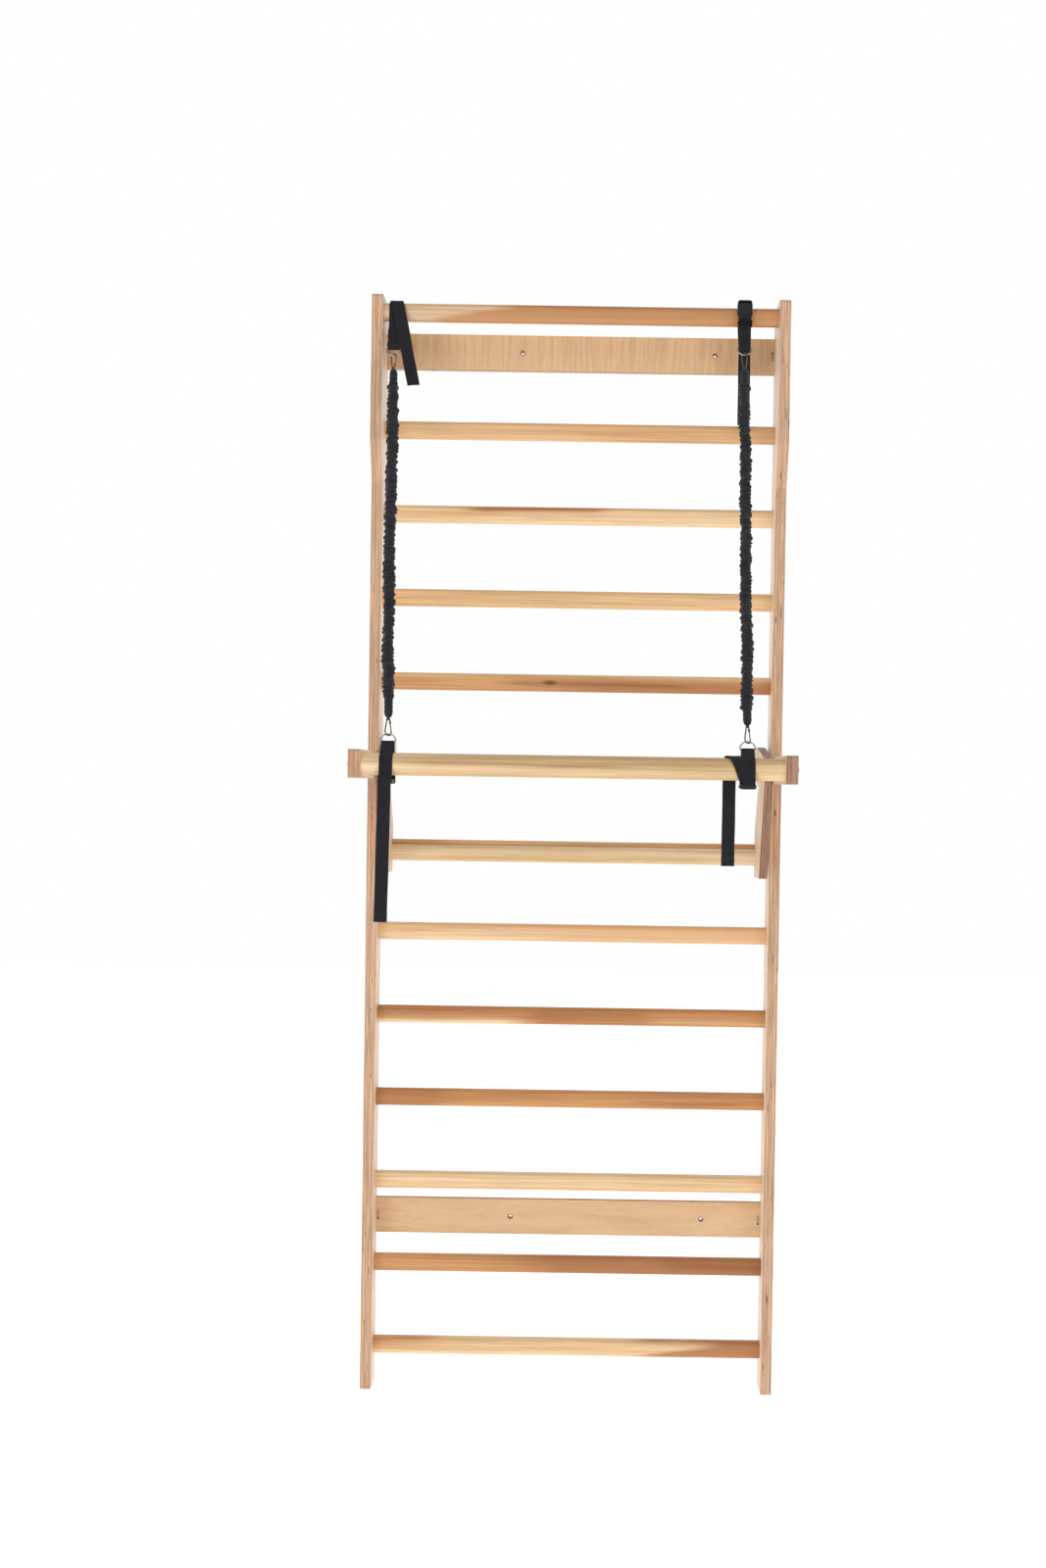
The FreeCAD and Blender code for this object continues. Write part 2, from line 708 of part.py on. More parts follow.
def make_plug(place):
    """The buckle's plug: a slotted base, two barbed prongs and a guide tongue, in one moulding."""
    body = new_body(f"buckle_plug_{place}")
    wide = "(size.buckle_wide - 1)"
    thick = "(size.buckle_thick - 3)"
    low = (f"-{wide} / 2", f"-{thick} / 2", "-size.plug_long")
    block(body, "Additive", wide, thick, "size.plug_long - 0.4", low)
    tall = "size.prong_tall"
    prong_x = "size.cavity_wide / 2 - size.prong_wide - 0.4"
    for start in (prong_x, f"-({prong_x}) - size.prong_wide"):
        low = (start, f"-{tall} / 2", "-1")
        block(body, "Additive", "size.prong_wide", tall, "size.prong_long + 1", low)
    barb_x = "size.cavity_wide / 2 - 0.5"
    for start in (barb_x, f"-({barb_x}) - size.barb_wide"):
        low = (start, f"-{tall} / 2", "size.window_start + 1")
        block(body, "Additive", "size.barb_wide", tall, "size.window_long - 2", low)
    across = "size.tongue_wide"
    low = (f"-{across} / 2", "-size.prong_tall / 2 + 0.5", "-1")
    block(body, "Additive", across, "size.prong_tall - 1", "size.prong_long - 3", low)
    across = "size.buckle_slot_wide"
    for start in ("-size.plug_long + size.buckle_slot", "-size.plug_long + 2.8 * size.buckle_slot"):
        low = (f"-{across} / 2", f"-{thick} / 2", start)
        block(body, "Subtractive", across, thick, "size.buckle_slot", low)
    body.Placement = buckle_placement(place)


# ---------------------------------------------------------------- snap hooks and elastics
def snap_shape():
    """Sizes of a snap hook along the chain: both end circles, and the slope of its sides."""
    ring_bow = value("size.ring_corner + size.ring_half")
    wire = value("size.snap_wire_r")
    inner_end = ring_bow - value("size.ring_wire_r") - wire - 0.3
    wide = value("size.snap_wide_r")
    narrow = value("size.snap_narrow_r")
    low_z = inner_end + wide
    high_z = inner_end + value("size.snap_long") - 2 * wire - narrow
    slope = math.asin((wide - narrow) / (high_z - low_z))
    return low_z, high_z, slope


def on_side(distance):
    """A point on the gate's side of a snap hook, from the wide end's circle towards the narrow."""
    low_z, high_z, slope = snap_shape()
    wide = value("size.snap_wide_r")
    start = Vector(wide * math.cos(slope), 0, low_z + wide * math.sin(slope))
    return start + Vector(-math.sin(slope), 0, math.cos(slope)) * distance


def gate_frame():
    """The gate's pivot, the way from it to the gate's tip, and the gate's length."""
    low_z, high_z, slope = snap_shape()
    side = (high_z - low_z) * math.cos(slope)
    stub_end = side - value("size.snap_stub")
    pivot = on_side(stub_end - value("size.gate_eye_r") - 0.4)
    tip = on_side(value("size.snap_nose") + 0.4)
    return pivot, (tip - pivot).normalize(), (tip - pivot).Length


def twisted(place):
    """A snap hook's frame: the chain's, turned about the chain so that hook and ring link."""
    turn = FreeCAD.Rotation(Vector(0, 0, 1), value("size.snap_twist"))
    return chain_placement(place).multiply(FreeCAD.Placement(Vector(), turn))


def make_snap_hook(place):
    """A bent wire hook, open on one side, with two cheeks and a pin for its gate."""
    low_z, high_z, slope = snap_shape()
    wide = value("size.snap_wide_r")
    narrow = value("size.snap_narrow_r")
    side = (high_z - low_z) * math.cos(slope)
    nose = on_side(value("size.snap_nose"))
    low_right = on_side(0)
    high_right = on_side(side)
    stub = on_side(side - value("size.snap_stub"))
    mirror = lambda point: Vector(-point.x, 0, point.z)
    edges = [
        Part.makeLine(nose, low_right),
        Part.Arc(low_right, Vector(0, 0, low_z - wide), mirror(low_right)).toShape(),
        Part.makeLine(mirror(low_right), mirror(high_right)),
        Part.Arc(mirror(high_right), Vector(0, 0, high_z + narrow), high_right).toShape(),
        Part.makeLine(high_right, stub),
    ]
    radius = value("size.snap_wire_r")
    hook = bent_wire(edges, radius, nose, low_right - nose)
    pivot, way, _ = gate_frame()
    cheek = 0.8
    cheek_y = value("size.gate_eye_r") * 0.5 + 0.25
    for y in (cheek_y, -cheek_y - cheek):
        ear = Part.makeBox(3, cheek, 4.6, Vector(-1.5, 0, -1.4))
        turn = FreeCAD.Rotation(Vector(0, 0, 1), way * -1)
        ear.Placement = FreeCAD.Placement(pivot + Vector(0, y, 0), turn)
        hook = hook.fuse(ear)
    length = 2 * (cheek_y + cheek)
    start = pivot - Vector(0, length / 2, 0)
    pin = Part.makeCylinder(value("size.gate_pin_r"), length, start, Vector(0, 1, 0))
    keep_shape(f"snap_hook_{place}", hook.fuse(pin).removeSplitter(), twisted(place))


def make_gate(place):
    """A snap hook's gate: a short rod with a flat eye that turns on the hook's pin."""
    pivot, way, length = gate_frame()
    eye_r = value("size.gate_eye_r")
    rod_r = value("size.gate_r")
    across = Vector(0, 1, 0)
    eye = Part.makeCylinder(eye_r, eye_r, pivot - across * (eye_r / 2), across)
    rod = Part.makeCylinder(rod_r, length - eye_r - 0.5, pivot + way * (eye_r + 0.5), way)
    neck = Part.makeBox(1.6, eye_r, eye_r + 1.5, Vector(-0.8, -eye_r / 2, 0))
    turn = FreeCAD.Rotation(Vector(0, 0, 1), way)
    neck.Placement = FreeCAD.Placement(pivot, turn)
    gate = eye.fuse(neck).fuse(rod)
    bore_r = value("size.gate_pin_r") + 0.05
    gate = gate.cut(Part.makeCylinder(bore_r, 4, pivot - across * 2, across)).removeSplitter()
    keep_shape(f"hook_gate_{place}", gate, twisted(place))
    frame = twisted(place)
    where = frame.multVec(pivot)
    axis = frame.Rotation.multVec(across)
    print(f"gate {place}: pivot {list(where)} axis {list(axis)}")


def make_elastic(side):
    """One elastic in its gathered sleeve: a straight round body that narrows to both hooks."""
    body = new_body(f"elastic_{side}")
    top = ring_point(f"top_{side}")
    span = (ring_point(f"bottom_{side}") - top).Length
    low_z, high_z, _ = snap_shape()
    start = high_z + value("size.snap_narrow_r") + value("size.snap_wire_r") + 0.5
    taper = "size.sleeve_taper"
    length = span - 2 * start
    for name, low_r, high_r, z in (
        ("upper_end", "size.sleeve_end_r", "size.sleeve_r", "0"),
        ("lower_end", "size.sleeve_r", "size.sleeve_end_r", f"{length} - {taper}"),
    ):
        cone = body.newObject("PartDesign::AdditiveCone", name)
        bind(cone, Radius1=low_r, Radius2=high_r, Height=taper, at_z=z)
        if name == "upper_end":
            middle = body.newObject("PartDesign::AdditiveCylinder", "sleeve")
            bind(middle, Radius="size.sleeve_r", Height=f"{length} - 2 * {taper}", at_z=taper)
    shift = FreeCAD.Placement(Vector(0, 0, start), FreeCAD.Rotation())
    body.Placement = chain_placement(f"top_{side}").multiply(shift)
    doc.recompute()
    section = math.pi * value("size.sleeve_r") ** 2
    print(f"elastic {side}: length {length:.1f} from", body.Placement.Base)
    print(f"    volume {body.Shape.Volume:.0f}, section x length {section * length:.0f}")


for rail_side in SIDES:
    make_rail(rail_side)
for rung_index, rung_height in enumerate(rung_heights(), start=1):
    make_rung(f"rung_{rung_index:02d}", "size.rung_back", rung_height)
make_rung("rung_top", "size.top_rung_back", "size.top_rung_z")
make_board("wall_board_lower", "size.board_low_z")
make_board("wall_board_upper", "size.board_high_z")
for bolt_side in SIDES:
    make_rung_bolts(bolt_side)
make_board_fasteners()
for plate_side in SIDES:
    make_plate(plate_side)
    make_arm(plate_side)
make_bar(
    "front_bar",
    "size.front_bar_r",
    "2 * (size.plate_inner + size.plate_thick)",
    ("-size.front_bar_y", "size.front_bar_z"),
)
make_bar(
    "lower_bar",
    "size.lower_bar_r",
    "2 * size.plate_inner",
    ("-size.lower_bar_y", "size.lower_bar_z"),
)
make_bar_fasteners()
for sling_place in RING_PLACES:
    make_ring(sling_place)
    make_webbing(sling_place)
    make_socket(sling_place)
    make_plug(sling_place)
    make_snap_hook(sling_place)
    make_gate(sling_place)
for elastic_side in SIDES:
    make_elastic(elastic_side)

# ---------------------------------------------------------------- checks and files
doc.recompute()
for thing in doc.Objects:
    assert not {"Invalid", "Error"} & set(thing.State), f"{thing.Label}: {thing.State}"
os.makedirs("parts", exist_ok=True)
for node in nodes:
    assert not node.Shape.isNull() and node.Shape.isValid(), f"{node.Label} isn't valid"
    node.Shape.exportStep(f"parts/{node.Label}.step")
print(len(nodes), "sub-parts")
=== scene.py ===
"""Wooden wall bars with a hook-on bar and two elastic sleeves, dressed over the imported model.

X runs along the wall, Y into the wall and Z up. The origin is on the floor at the foot of the wall,
midway between the rails. Lengths are in metres.
"""
import math
import bpy
import numpy as np
from mathutils import Matrix, Vector


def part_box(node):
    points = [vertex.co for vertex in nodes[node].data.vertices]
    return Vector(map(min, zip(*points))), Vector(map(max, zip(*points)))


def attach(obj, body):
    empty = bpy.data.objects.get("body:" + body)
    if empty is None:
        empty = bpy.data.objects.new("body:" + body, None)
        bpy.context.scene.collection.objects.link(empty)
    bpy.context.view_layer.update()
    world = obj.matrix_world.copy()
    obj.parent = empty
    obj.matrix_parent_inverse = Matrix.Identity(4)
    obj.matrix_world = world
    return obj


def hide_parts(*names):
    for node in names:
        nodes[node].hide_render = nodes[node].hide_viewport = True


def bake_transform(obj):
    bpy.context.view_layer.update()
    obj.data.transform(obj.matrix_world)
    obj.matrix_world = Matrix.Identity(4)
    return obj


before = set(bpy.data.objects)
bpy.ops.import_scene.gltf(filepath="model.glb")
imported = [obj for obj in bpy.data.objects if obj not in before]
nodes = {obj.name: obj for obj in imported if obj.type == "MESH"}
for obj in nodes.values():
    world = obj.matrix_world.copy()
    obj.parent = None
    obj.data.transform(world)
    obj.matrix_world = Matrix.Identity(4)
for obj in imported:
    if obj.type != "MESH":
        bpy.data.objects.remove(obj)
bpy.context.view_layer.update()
scene = bpy.context.scene
SIDES = ("left", "right")
PLACES = ("top_left", "top_right", "bottom_left", "bottom_right")

# ------------------------------------------------------------------ camera
# A long lens at chest height, square to the wall: it looks down by a degree and leans by a degree.
CAMERA_PLACE = Vector((0.030, -4.0875, 1.3492))
camera = bpy.data.objects.new("camera", bpy.data.cameras.new("camera"))
camera.data.lens = 41.77
camera.data.sensor_width = 36
camera.data.shift_x = -0.0412
camera.data.shift_y = 0.0188
aim = Matrix.Rotation(math.radians(90 - 0.962), 4, "X") @ Matrix.Rotation(math.radians(0.876), 4, "Z")
camera.matrix_world = Matrix.Translation(CAMERA_PLACE) @ aim
scene.collection.objects.link(camera)
scene.camera = camera

# ------------------------------------------------------------------ elastic sleeves
# Each is a bundle of rubber strands pulled through a longer tube of black polyester, so the tube
# gathers into ruffles. Both ends are bound smooth, with a cord loop through the snap hook.
SLEEVE_BASE_R = 0.0098
SLEEVE_END_R = 0.0084
# The taut line that each sleeve follows, from its upper binding to its lower one.
SLEEVE_LINES = {
    "left": [
        (-0.4029, -0.1487, 2.2338),
        (-0.3970, -0.2040, 2.0920),
        (-0.3930, -0.2640, 1.9430),
        (-0.3870, -0.3250, 1.7830),
        (-0.3815, -0.3820, 1.6430),
        (-0.3735, -0.4240, 1.5370),
        (-0.3711, -0.4482, 1.4739),
    ],
    "right": [
        (0.3545, -0.1432, 2.2478),
        (0.3520, -0.1980, 2.1050),
        (0.3515, -0.2620, 1.9450),
        (0.3485, -0.3240, 1.7850),
        (0.3490, -0.3850, 1.6330),
        (0.3460, -0.4230, 1.5350),
        (0.3465, -0.4500, 1.4692),
    ],
}


def srgb(red, green, blue):
    """A colour from its everyday 0 to 255 values, as the shaders' linear ones."""
    return tuple(
        (c / 255 / 12.92) if c / 255 <= 0.04045 else ((c / 255 + 0.055) / 1.055) ** 2.4
        for c in (red, green, blue)
    ) + (1.0,)


class Shader:
    """A material's node tree with short calls for the nodes that the finishes below are made of."""

    def __init__(self, name, roughness=0.5, metallic=0.0, specular=0.5):
        self.material = bpy.data.materials.new(name)
        self.material.use_nodes = True
        self.tree = self.material.node_tree
        self.surface = self.tree.nodes["Principled BSDF"]
        self.surface.inputs["Roughness"].default_value = roughness
        self.surface.inputs["Metallic"].default_value = metallic
        self.surface.inputs["Specular IOR Level"].default_value = specular

    def node(self, kind, inputs=None, **settings):
        made = self.tree.nodes.new(f"ShaderNode{kind}")
        for key, setting in settings.items():
            setattr(made, key, setting)
        for key, given in (inputs or {}).items():
            if isinstance(given, bpy.types.NodeSocket):
                self.tree.links.new(given, made.inputs[key])
            else:
                made.inputs[key].default_value = given
        return made

    def math(self, operation, *given):
        return self.node("Math", dict(enumerate(given)), operation=operation).outputs[0]

    def stretched(self, source, scale, turn=(0, 0, 0), shift=(0, 0, 0)):
        inputs = {"Vector": source, "Scale": scale, "Rotation": turn, "Location": shift}
        return self.node("Mapping", inputs).outputs[0]

    def noise(self, source, scale, detail=2.0, rough=0.5, distortion=0.0):
        inputs = {"Vector": source, "Scale": scale, "Detail": detail, "Roughness": rough}
        return self.node("TexNoise", {**inputs, "Distortion": distortion}).outputs["Fac"]

    def ramp(self, factor, stops, smooth=False):
        made = self.node("ValToRGB", {"Fac": factor})
        made.color_ramp.interpolation = "EASE" if smooth else "LINEAR"
        elements = made.color_ramp.elements
        while len(elements) < len(stops):
            elements.new(0.5)
        for element, (place, colour) in zip(elements, stops):
            element.position = place
            element.color = colour if isinstance(colour, tuple) else (colour, colour, colour, 1)
        return made.outputs["Color"]

    def mix(self, factor, first, second, way="MIX"):
        made = self.tree.nodes.new("ShaderNodeMix")
        made.data_type = "RGBA"
        made.blend_type = way
        for socket, given in zip((made.inputs[0], made.inputs[6], made.inputs[7]), (factor, first, second)):
            if isinstance(given, bpy.types.NodeSocket):
                self.tree.links.new(given, socket)
            else:
                socket.default_value = given
        return made.outputs[2]

    def finish(self, colour, roughness=None, height=None, strength=0.3, distance=0.0005):
        self.tree.links.new(colour, self.surface.inputs["Base Color"])
        if roughness is not None:
            self.tree.links.new(roughness, self.surface.inputs["Roughness"])
        if height is not None:
            inputs = {"Height": height, "Strength": strength, "Distance": distance}
            bump = self.node("Bump", inputs)
            self.tree.links.new(bump.outputs[0], self.surface.inputs["Normal"])
        return self.material

    def place(self):
        return self.node("TexCoord").outputs["Object"]

    def weave_place(self):
        return self.node("UVMap", uv_map="weave").outputs[0]


def new_piece(name, points, faces, uvs=None, smooth=True):
    """A mesh piece; uvs, one for each corner of each face, are in metres across and along."""
    mesh = bpy.data.meshes.new(name)
    mesh.from_pydata([tuple(p) for p in points], [], [tuple(f) for f in faces])
    if uvs is not None:
        layer = mesh.uv_layers.new(name="weave")
        layer.data.foreach_set("uv", np.asarray(uvs, np.float32).ravel())
    if smooth:
        mesh.polygons.foreach_set("use_smooth", [True] * len(mesh.polygons))
    mesh.update()
    piece = bpy.data.objects.new(name, mesh)
    scene.collection.objects.link(piece)
    return piece


def distances(line):
    """How far along a line each of its points lies."""
    return np.concatenate([[0], np.cumsum(np.linalg.norm(np.diff(line, axis=0), axis=1))])


def spline_points(name, route, step):
    """The smooth line of a route, as points about one step apart."""
    curve = bpy.data.curves.new(name, "CURVE")
    curve.dimensions = "3D"
    curve.resolution_u = 64
    spline = curve.splines.new("NURBS")
    spline.points.add(len(route) - 1)
    for point, place in zip(spline.points, route):
        point.co = (*place, 1)
    spline.order_u = 3
    spline.use_endpoint_u = True
    holder = bpy.data.objects.new(name, curve)
    line = np.array([v.co for v in bpy.data.meshes.new_from_object(holder).vertices])
    bpy.data.objects.remove(holder)
    gone = distances(line)
    count = max(2, round(gone[-1] / step) + 1)
    wanted = np.linspace(0, gone[-1], count)
    return np.stack([np.interp(wanted, gone, line[:, axis]) for axis in range(3)], axis=1)


def tube_mesh(line, radii, side):
    """Points, faces and weave places of a tube whose radius is given for each ring and spoke."""
    rings, spokes = radii.shape
    ways = np.gradient(line, axis=0)
    ways /= np.linalg.norm(ways, axis=1)[:, None]
    across = side - (ways @ side)[:, None] * ways
    across /= np.linalg.norm(across, axis=1)[:, None]
    other = np.cross(ways, across)
    turn = np.linspace(0, 2 * math.pi, spokes, endpoint=False)
    out = np.cos(turn)[None, :, None] * across[:, None] + np.sin(turn)[None, :, None] * other[:, None]
    points = (line[:, None] + out * radii[..., None]).reshape(-1, 3).tolist()
    gone = distances(line)
    girth = 2 * math.pi * radii.mean()
    faces = []
    uvs = []
    for i in range(rings - 1):
        for j in range(spokes):
            k = (j + 1) % spokes
            faces.append((i * spokes + j, i * spokes + k, (i + 1) * spokes + k, (i + 1) * spokes + j))
            u, v = girth * j / spokes, girth * (j + 1) / spokes
            uvs += [(u, gone[i]), (v, gone[i]), (v, gone[i + 1]), (u, gone[i + 1])]
    for ring, flip in ((0, True), (rings - 1, False)):
        middle = len(points)
        points.append(line[ring].tolist())
        for j in range(spokes):
            pair = (ring * spokes + j, ring * spokes + (j + 1) % spokes)
            faces.append((middle, *(pair[::-1] if flip else pair)))
            uvs += [(0, gone[ring]), (0.001, gone[ring]), (0, gone[ring])]
    return points, faces, uvs


def gathered_radii(length, rings, spokes, seed):
    """How far a gathered sleeve stands off its line, ring by ring and spoke by spoke."""
    rng = np.random.default_rng(seed)
    along = np.linspace(0, length, rings)[:, None]
    turn = np.linspace(0, 2 * math.pi, spokes, endpoint=False)[None, :]
    ruffles = np.zeros((rings, spokes))
    place = 0.0
    while place < length:
        place += rng.uniform(0.0055, 0.0105)
        lean = rng.uniform(0.0008, 0.0034) * np.cos(turn - rng.uniform(0, 2 * math.pi))
        curl = 0.0011 * np.sin(3 * turn + rng.uniform(0, 2 * math.pi))
        height = rng.uniform(0.55, 1.0) + 0.42 * np.cos(turn - rng.uniform(0, 2 * math.pi))
        height += 0.22 * np.sin(2 * turn + rng.uniform(0, 2 * math.pi))
        width = rng.uniform(0.0019, 0.0033)
        ridge = np.exp(-(((along - place - lean - curl) / width) ** 2)) * height
        ruffles = np.maximum(ruffles, ridge)
    creases = np.zeros((rings, spokes))
    for _ in range(int(length * 500)):
        at, angle = rng.uniform(0, length), rng.uniform(0, 2 * math.pi)
        off = (turn - angle - 60 * rng.uniform(-1, 1) * (along - at) + math.pi) % (2 * math.pi) - math.pi
        creases -= np.exp(-((off / 0.16) ** 2) - ((along - at) / rng.uniform(0.003, 0.006)) ** 2)
    slow = sum(
        0.0006 * np.cos(turn * (1 + n) + along * rng.uniform(15, 60) + rng.uniform(0, 6)) for n in range(3)
    )
    return SLEEVE_BASE_R + 0.0034 * ruffles + 0.00055 * np.clip(creases, -2, 0) + slow


sleeve = Shader("black gathered polyester", roughness=0.86, specular=0.28)
sleeve.surface.inputs["Sheen Weight"].default_value = 0.2
sleeve.surface.inputs["Sheen Roughness"].default_value = 0.45
threads = sleeve.stretched(sleeve.weave_place(), (1500, 900, 1))
ribs = sleeve.math("SINE", sleeve.node("SeparateXYZ", {0: threads}).outputs[0])
picks = sleeve.math("SINE", sleeve.node("SeparateXYZ", {0: threads}).outputs[1])
knit = sleeve.math("MULTIPLY", ribs, picks)
fuzz = sleeve.noise(sleeve.place(), 420, 4, 0.7)
cast = sleeve.noise(sleeve.place(), 38, 3)
shade = sleeve.ramp(cast, [(0.3, srgb(15, 15, 18)), (0.7, srgb(38, 38, 44))])
shade = sleeve.mix(sleeve.math("MULTIPLY", fuzz, 0.3), shade, srgb(64, 64, 73))
relief = sleeve.math("ADD", sleeve.math("MULTIPLY", knit, 0.5), fuzz)
SLEEVE_CLOTH = sleeve.finish(shade, height=relief, strength=0.45, distance=0.0003)


# Each chain's ends: the middle of a ring's straight wire, and the way along the taut chain from it.
RING_POINTS = {
    "top_left": Vector((-0.4050, -0.1291, 2.2835)),
    "top_right": Vector((0.3550, -0.1236, 2.2974)),
    "bottom_left": Vector((-0.3690, -0.4678, 1.4242)),
    "bottom_right": Vector((0.3460, -0.4696, 1.4196)),
}
HOOK_END = 0.0514
HOOK_TWIST = math.radians(40)
LOOP_R = 0.0013


def chain_ways(place):
    """A hook's own directions: along the chain, across the hook's wires, and through its opening."""
    other = place.replace("top", "bottom") if "top" in place else place.replace("bottom", "top")
    along = (RING_POINTS[other] - RING_POINTS[place]).normalized()
    flat = (Vector((1, 0, 0)) - along * along.x).normalized()
    turn = Matrix.Rotation(HOOK_TWIST, 3, along)
    across = turn @ flat
    return along, across, along.cross(across)


def make_loop(place):
    along, _, through = chain_ways(place)
    centre = RING_POINTS[place] + along * HOOK_END
    bend = 0.0015 + LOOP_R + 0.0002
    route = [centre + through * bend + along * 0.010]
    for step in range(13):
        angle = math.pi * step / 12
        route.append(centre + through * bend * math.cos(angle) - along * bend * math.sin(angle))
    route.append(centre - through * bend + along * 0.010)
    line = np.array([tuple(point) for point in route])
    points, faces, uvs = tube_mesh(line, np.full((len(line), 12), LOOP_R), np.array([1.0, 0.3, 0.0]))
    piece = new_piece(f"sleeve_loop_{place}", points, faces, uvs)
    piece.data.materials.append(SLEEVE_CLOTH)
    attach(piece, "ladder" if "top" in place else "bar_attachment")
    return piece


def make_sleeve(side, seed):
    line = spline_points(f"sleeve_line_{side}", SLEEVE_LINES[side], 0.0011)
    length = float(np.linalg.norm(np.diff(line, axis=0), axis=1).sum())
    rings, spokes = len(line), 36
    radii = gathered_radii(length, rings, spokes, seed)
    along = np.linspace(0, length, rings)
    turn = np.linspace(0, 2 * math.pi, spokes, endpoint=False)
    rng = np.random.default_rng(seed + 1)
    upper, lower = rng.uniform(0.034, 0.044), rng.uniform(0.034, 0.044)
    for from_end, bound in ((along, upper), (length - along, lower)):
        tip = np.sqrt(np.clip(1 - (1 - np.clip(from_end / 0.011, 0, 1)) ** 2, 0, 1))
        ribbed = 0.00035 * np.abs(np.sin(5 * turn))[None, :] + 0.0003 * np.sin(from_end / 0.0016)[:, None]
        smooth = (SLEEVE_END_R + ribbed) * (0.18 + 0.82 * tip)[:, None]
        share = 1 / (1 + np.exp(-(from_end - bound) / 0.0016))[:, None]
        radii = smooth * (1 - share) + radii * share
    side_way = np.array([1.0, 0.0, 0.0])
    points, faces, uvs = tube_mesh(line, radii, side_way)
    piece = new_piece(f"elastic_sleeve_{side}", points, faces, uvs)
    piece.data.materials.append(SLEEVE_CLOTH)
    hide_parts(f"elastic_{side}")
    make_loop(f"top_{side}")
    make_loop(f"bottom_{side}")
    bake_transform(piece)
    return piece


for sleeve_side, sleeve_seed in zip(SIDES, (11, 42)):
    make_sleeve(sleeve_side, sleeve_seed)

# ------------------------------------------------------------------ light and floor
# A white backdrop and a bright floor, a dim ceiling, and two tall sheets of light in front with a smaller
# one above, as for a catalogue picture. What the camera sees behind the object is plain white.
world = bpy.data.worlds.new("studio")
world.use_nodes = True
studio = world.node_tree
background = studio.nodes["Background"]
background.inputs["Color"].default_value = (1, 1, 1, 1)


def fade(source, from_low, from_high, to_low, to_high):
    made = studio.nodes.new("ShaderNodeMapRange")
    limits = {"From Min": from_low, "From Max": from_high, "To Min": to_low, "To Max": to_high}
    for key, limit in limits.items():
        made.inputs[key].default_value = limit
    studio.links.new(source, made.inputs["Value"])
    return made.outputs["Result"]


sky_way = studio.nodes.new("ShaderNodeSeparateXYZ")
studio.links.new(studio.nodes.new("ShaderNodeTexCoord").outputs["Generated"], sky_way.inputs[0])
backdrop = fade(sky_way.outputs["Y"], -0.5, 0.5, 0.5, 1.0)
ceiling = fade(sky_way.outputs["Z"], 0.3, 0.9, 1.0, 0.7)
glow = studio.nodes.new("ShaderNodeMath")
glow.operation = "MULTIPLY"
studio.links.new(backdrop, glow.inputs[0])
studio.links.new(ceiling, glow.inputs[1])
plain = studio.nodes.new("ShaderNodeMath")
plain.operation = "MAXIMUM"
studio.links.new(glow.outputs[0], plain.inputs[0])
studio.links.new(studio.nodes.new("ShaderNodeLightPath").outputs["Is Camera Ray"], plain.inputs[1])
studio.links.new(plain.outputs[0], background.inputs["Strength"])
scene.world = world
scene.view_settings.view_transform = "Standard"
scene.view_settings.look = "None"


def softbox(name, place, aim_at, size, power):
    lamp = bpy.data.objects.new(name, bpy.data.lights.new(name, "AREA"))
    lamp.data.shape = "RECTANGLE"
    lamp.data.size, lamp.data.size_y = size
    lamp.data.energy = power
    lamp.location = place
    lamp.rotation_euler = (Vector(aim_at) - Vector(place)).to_track_quat("-Z", "Y").to_euler()
    scene.collection.objects.link(lamp)


softbox("key_light", (-3.4, -5.2, 1.8), (0, 0, 1.25), (2.0, 3.4), 60)
softbox("fill_light", (3.7, -4.8, 1.4), (0, 0, 1.15), (1.8, 3.2), 33)
softbox("top_light", (0, -2.6, 4.2), (0, 0, 1.3), (3.0, 1.5), 13)

floor = Shader("pale studio floor", roughness=0.75, specular=0.2)
speckle = floor.noise(floor.place(), 160, 4)
floor.surface.inputs["Emission Color"].default_value = (1, 1, 1, 1)
floor.surface.inputs["Emission Strength"].default_value = 0.52
FLOOR_PAINT = floor.finish(floor.ramp(speckle, [(0.2, srgb(249, 249, 249)), (0.8, srgb(253, 253, 253))]))
FLOOR_HALF = 9.0
corners = [(x, y, -0.0005) for x, y in ((-FLOOR_HALF, -FLOOR_HALF), (FLOOR_HALF, -FLOOR_HALF))]
corners += [(x, y, -0.0005) for x, y in ((FLOOR_HALF, FLOOR_HALF), (-FLOOR_HALF, FLOOR_HALF))]
ground = new_piece("studio_floor", corners, [(0, 1, 2, 3)], smooth=False)
ground.data.materials.append(FLOOR_PAINT)


# ------------------------------------------------------------------ finish of the CAD nodes
def dress(node, material):
    """Give a CAD node its finish."""
    piece = nodes[node]
    piece.data.materials.clear()
    piece.data.materials.append(material)


def soften(node, width):
    """Break a node's machined edges by a hair, as sanding does."""
    weld = nodes[node].modifiers.new("weld", "WELD")
    weld.merge_threshold = 1e-5
    bevel = nodes[node].modifiers.new("sanded edges", "BEVEL")
    bevel.width = width
    bevel.segments = 2
    bevel.limit_method = "ANGLE"
    bevel.angle_limit = math.radians(40)
    bevel.harden_normals = False


# ------------------------------------------------------------------ rungs
# Solid hardwood planed to a flattened round section and varnished. Each comes from its own board,
# so tone, figure and streaks differ from rung to rung.
CREAM = srgb(243, 209, 164)
PALE = srgb(235, 194, 144)
HONEY = srgb(219, 167, 114)
GOLD = srgb(210, 152, 98)
CARAMEL = srgb(200, 139, 88)
TOFFEE = srgb(177, 117, 74)
UMBER = srgb(146, 93, 58)


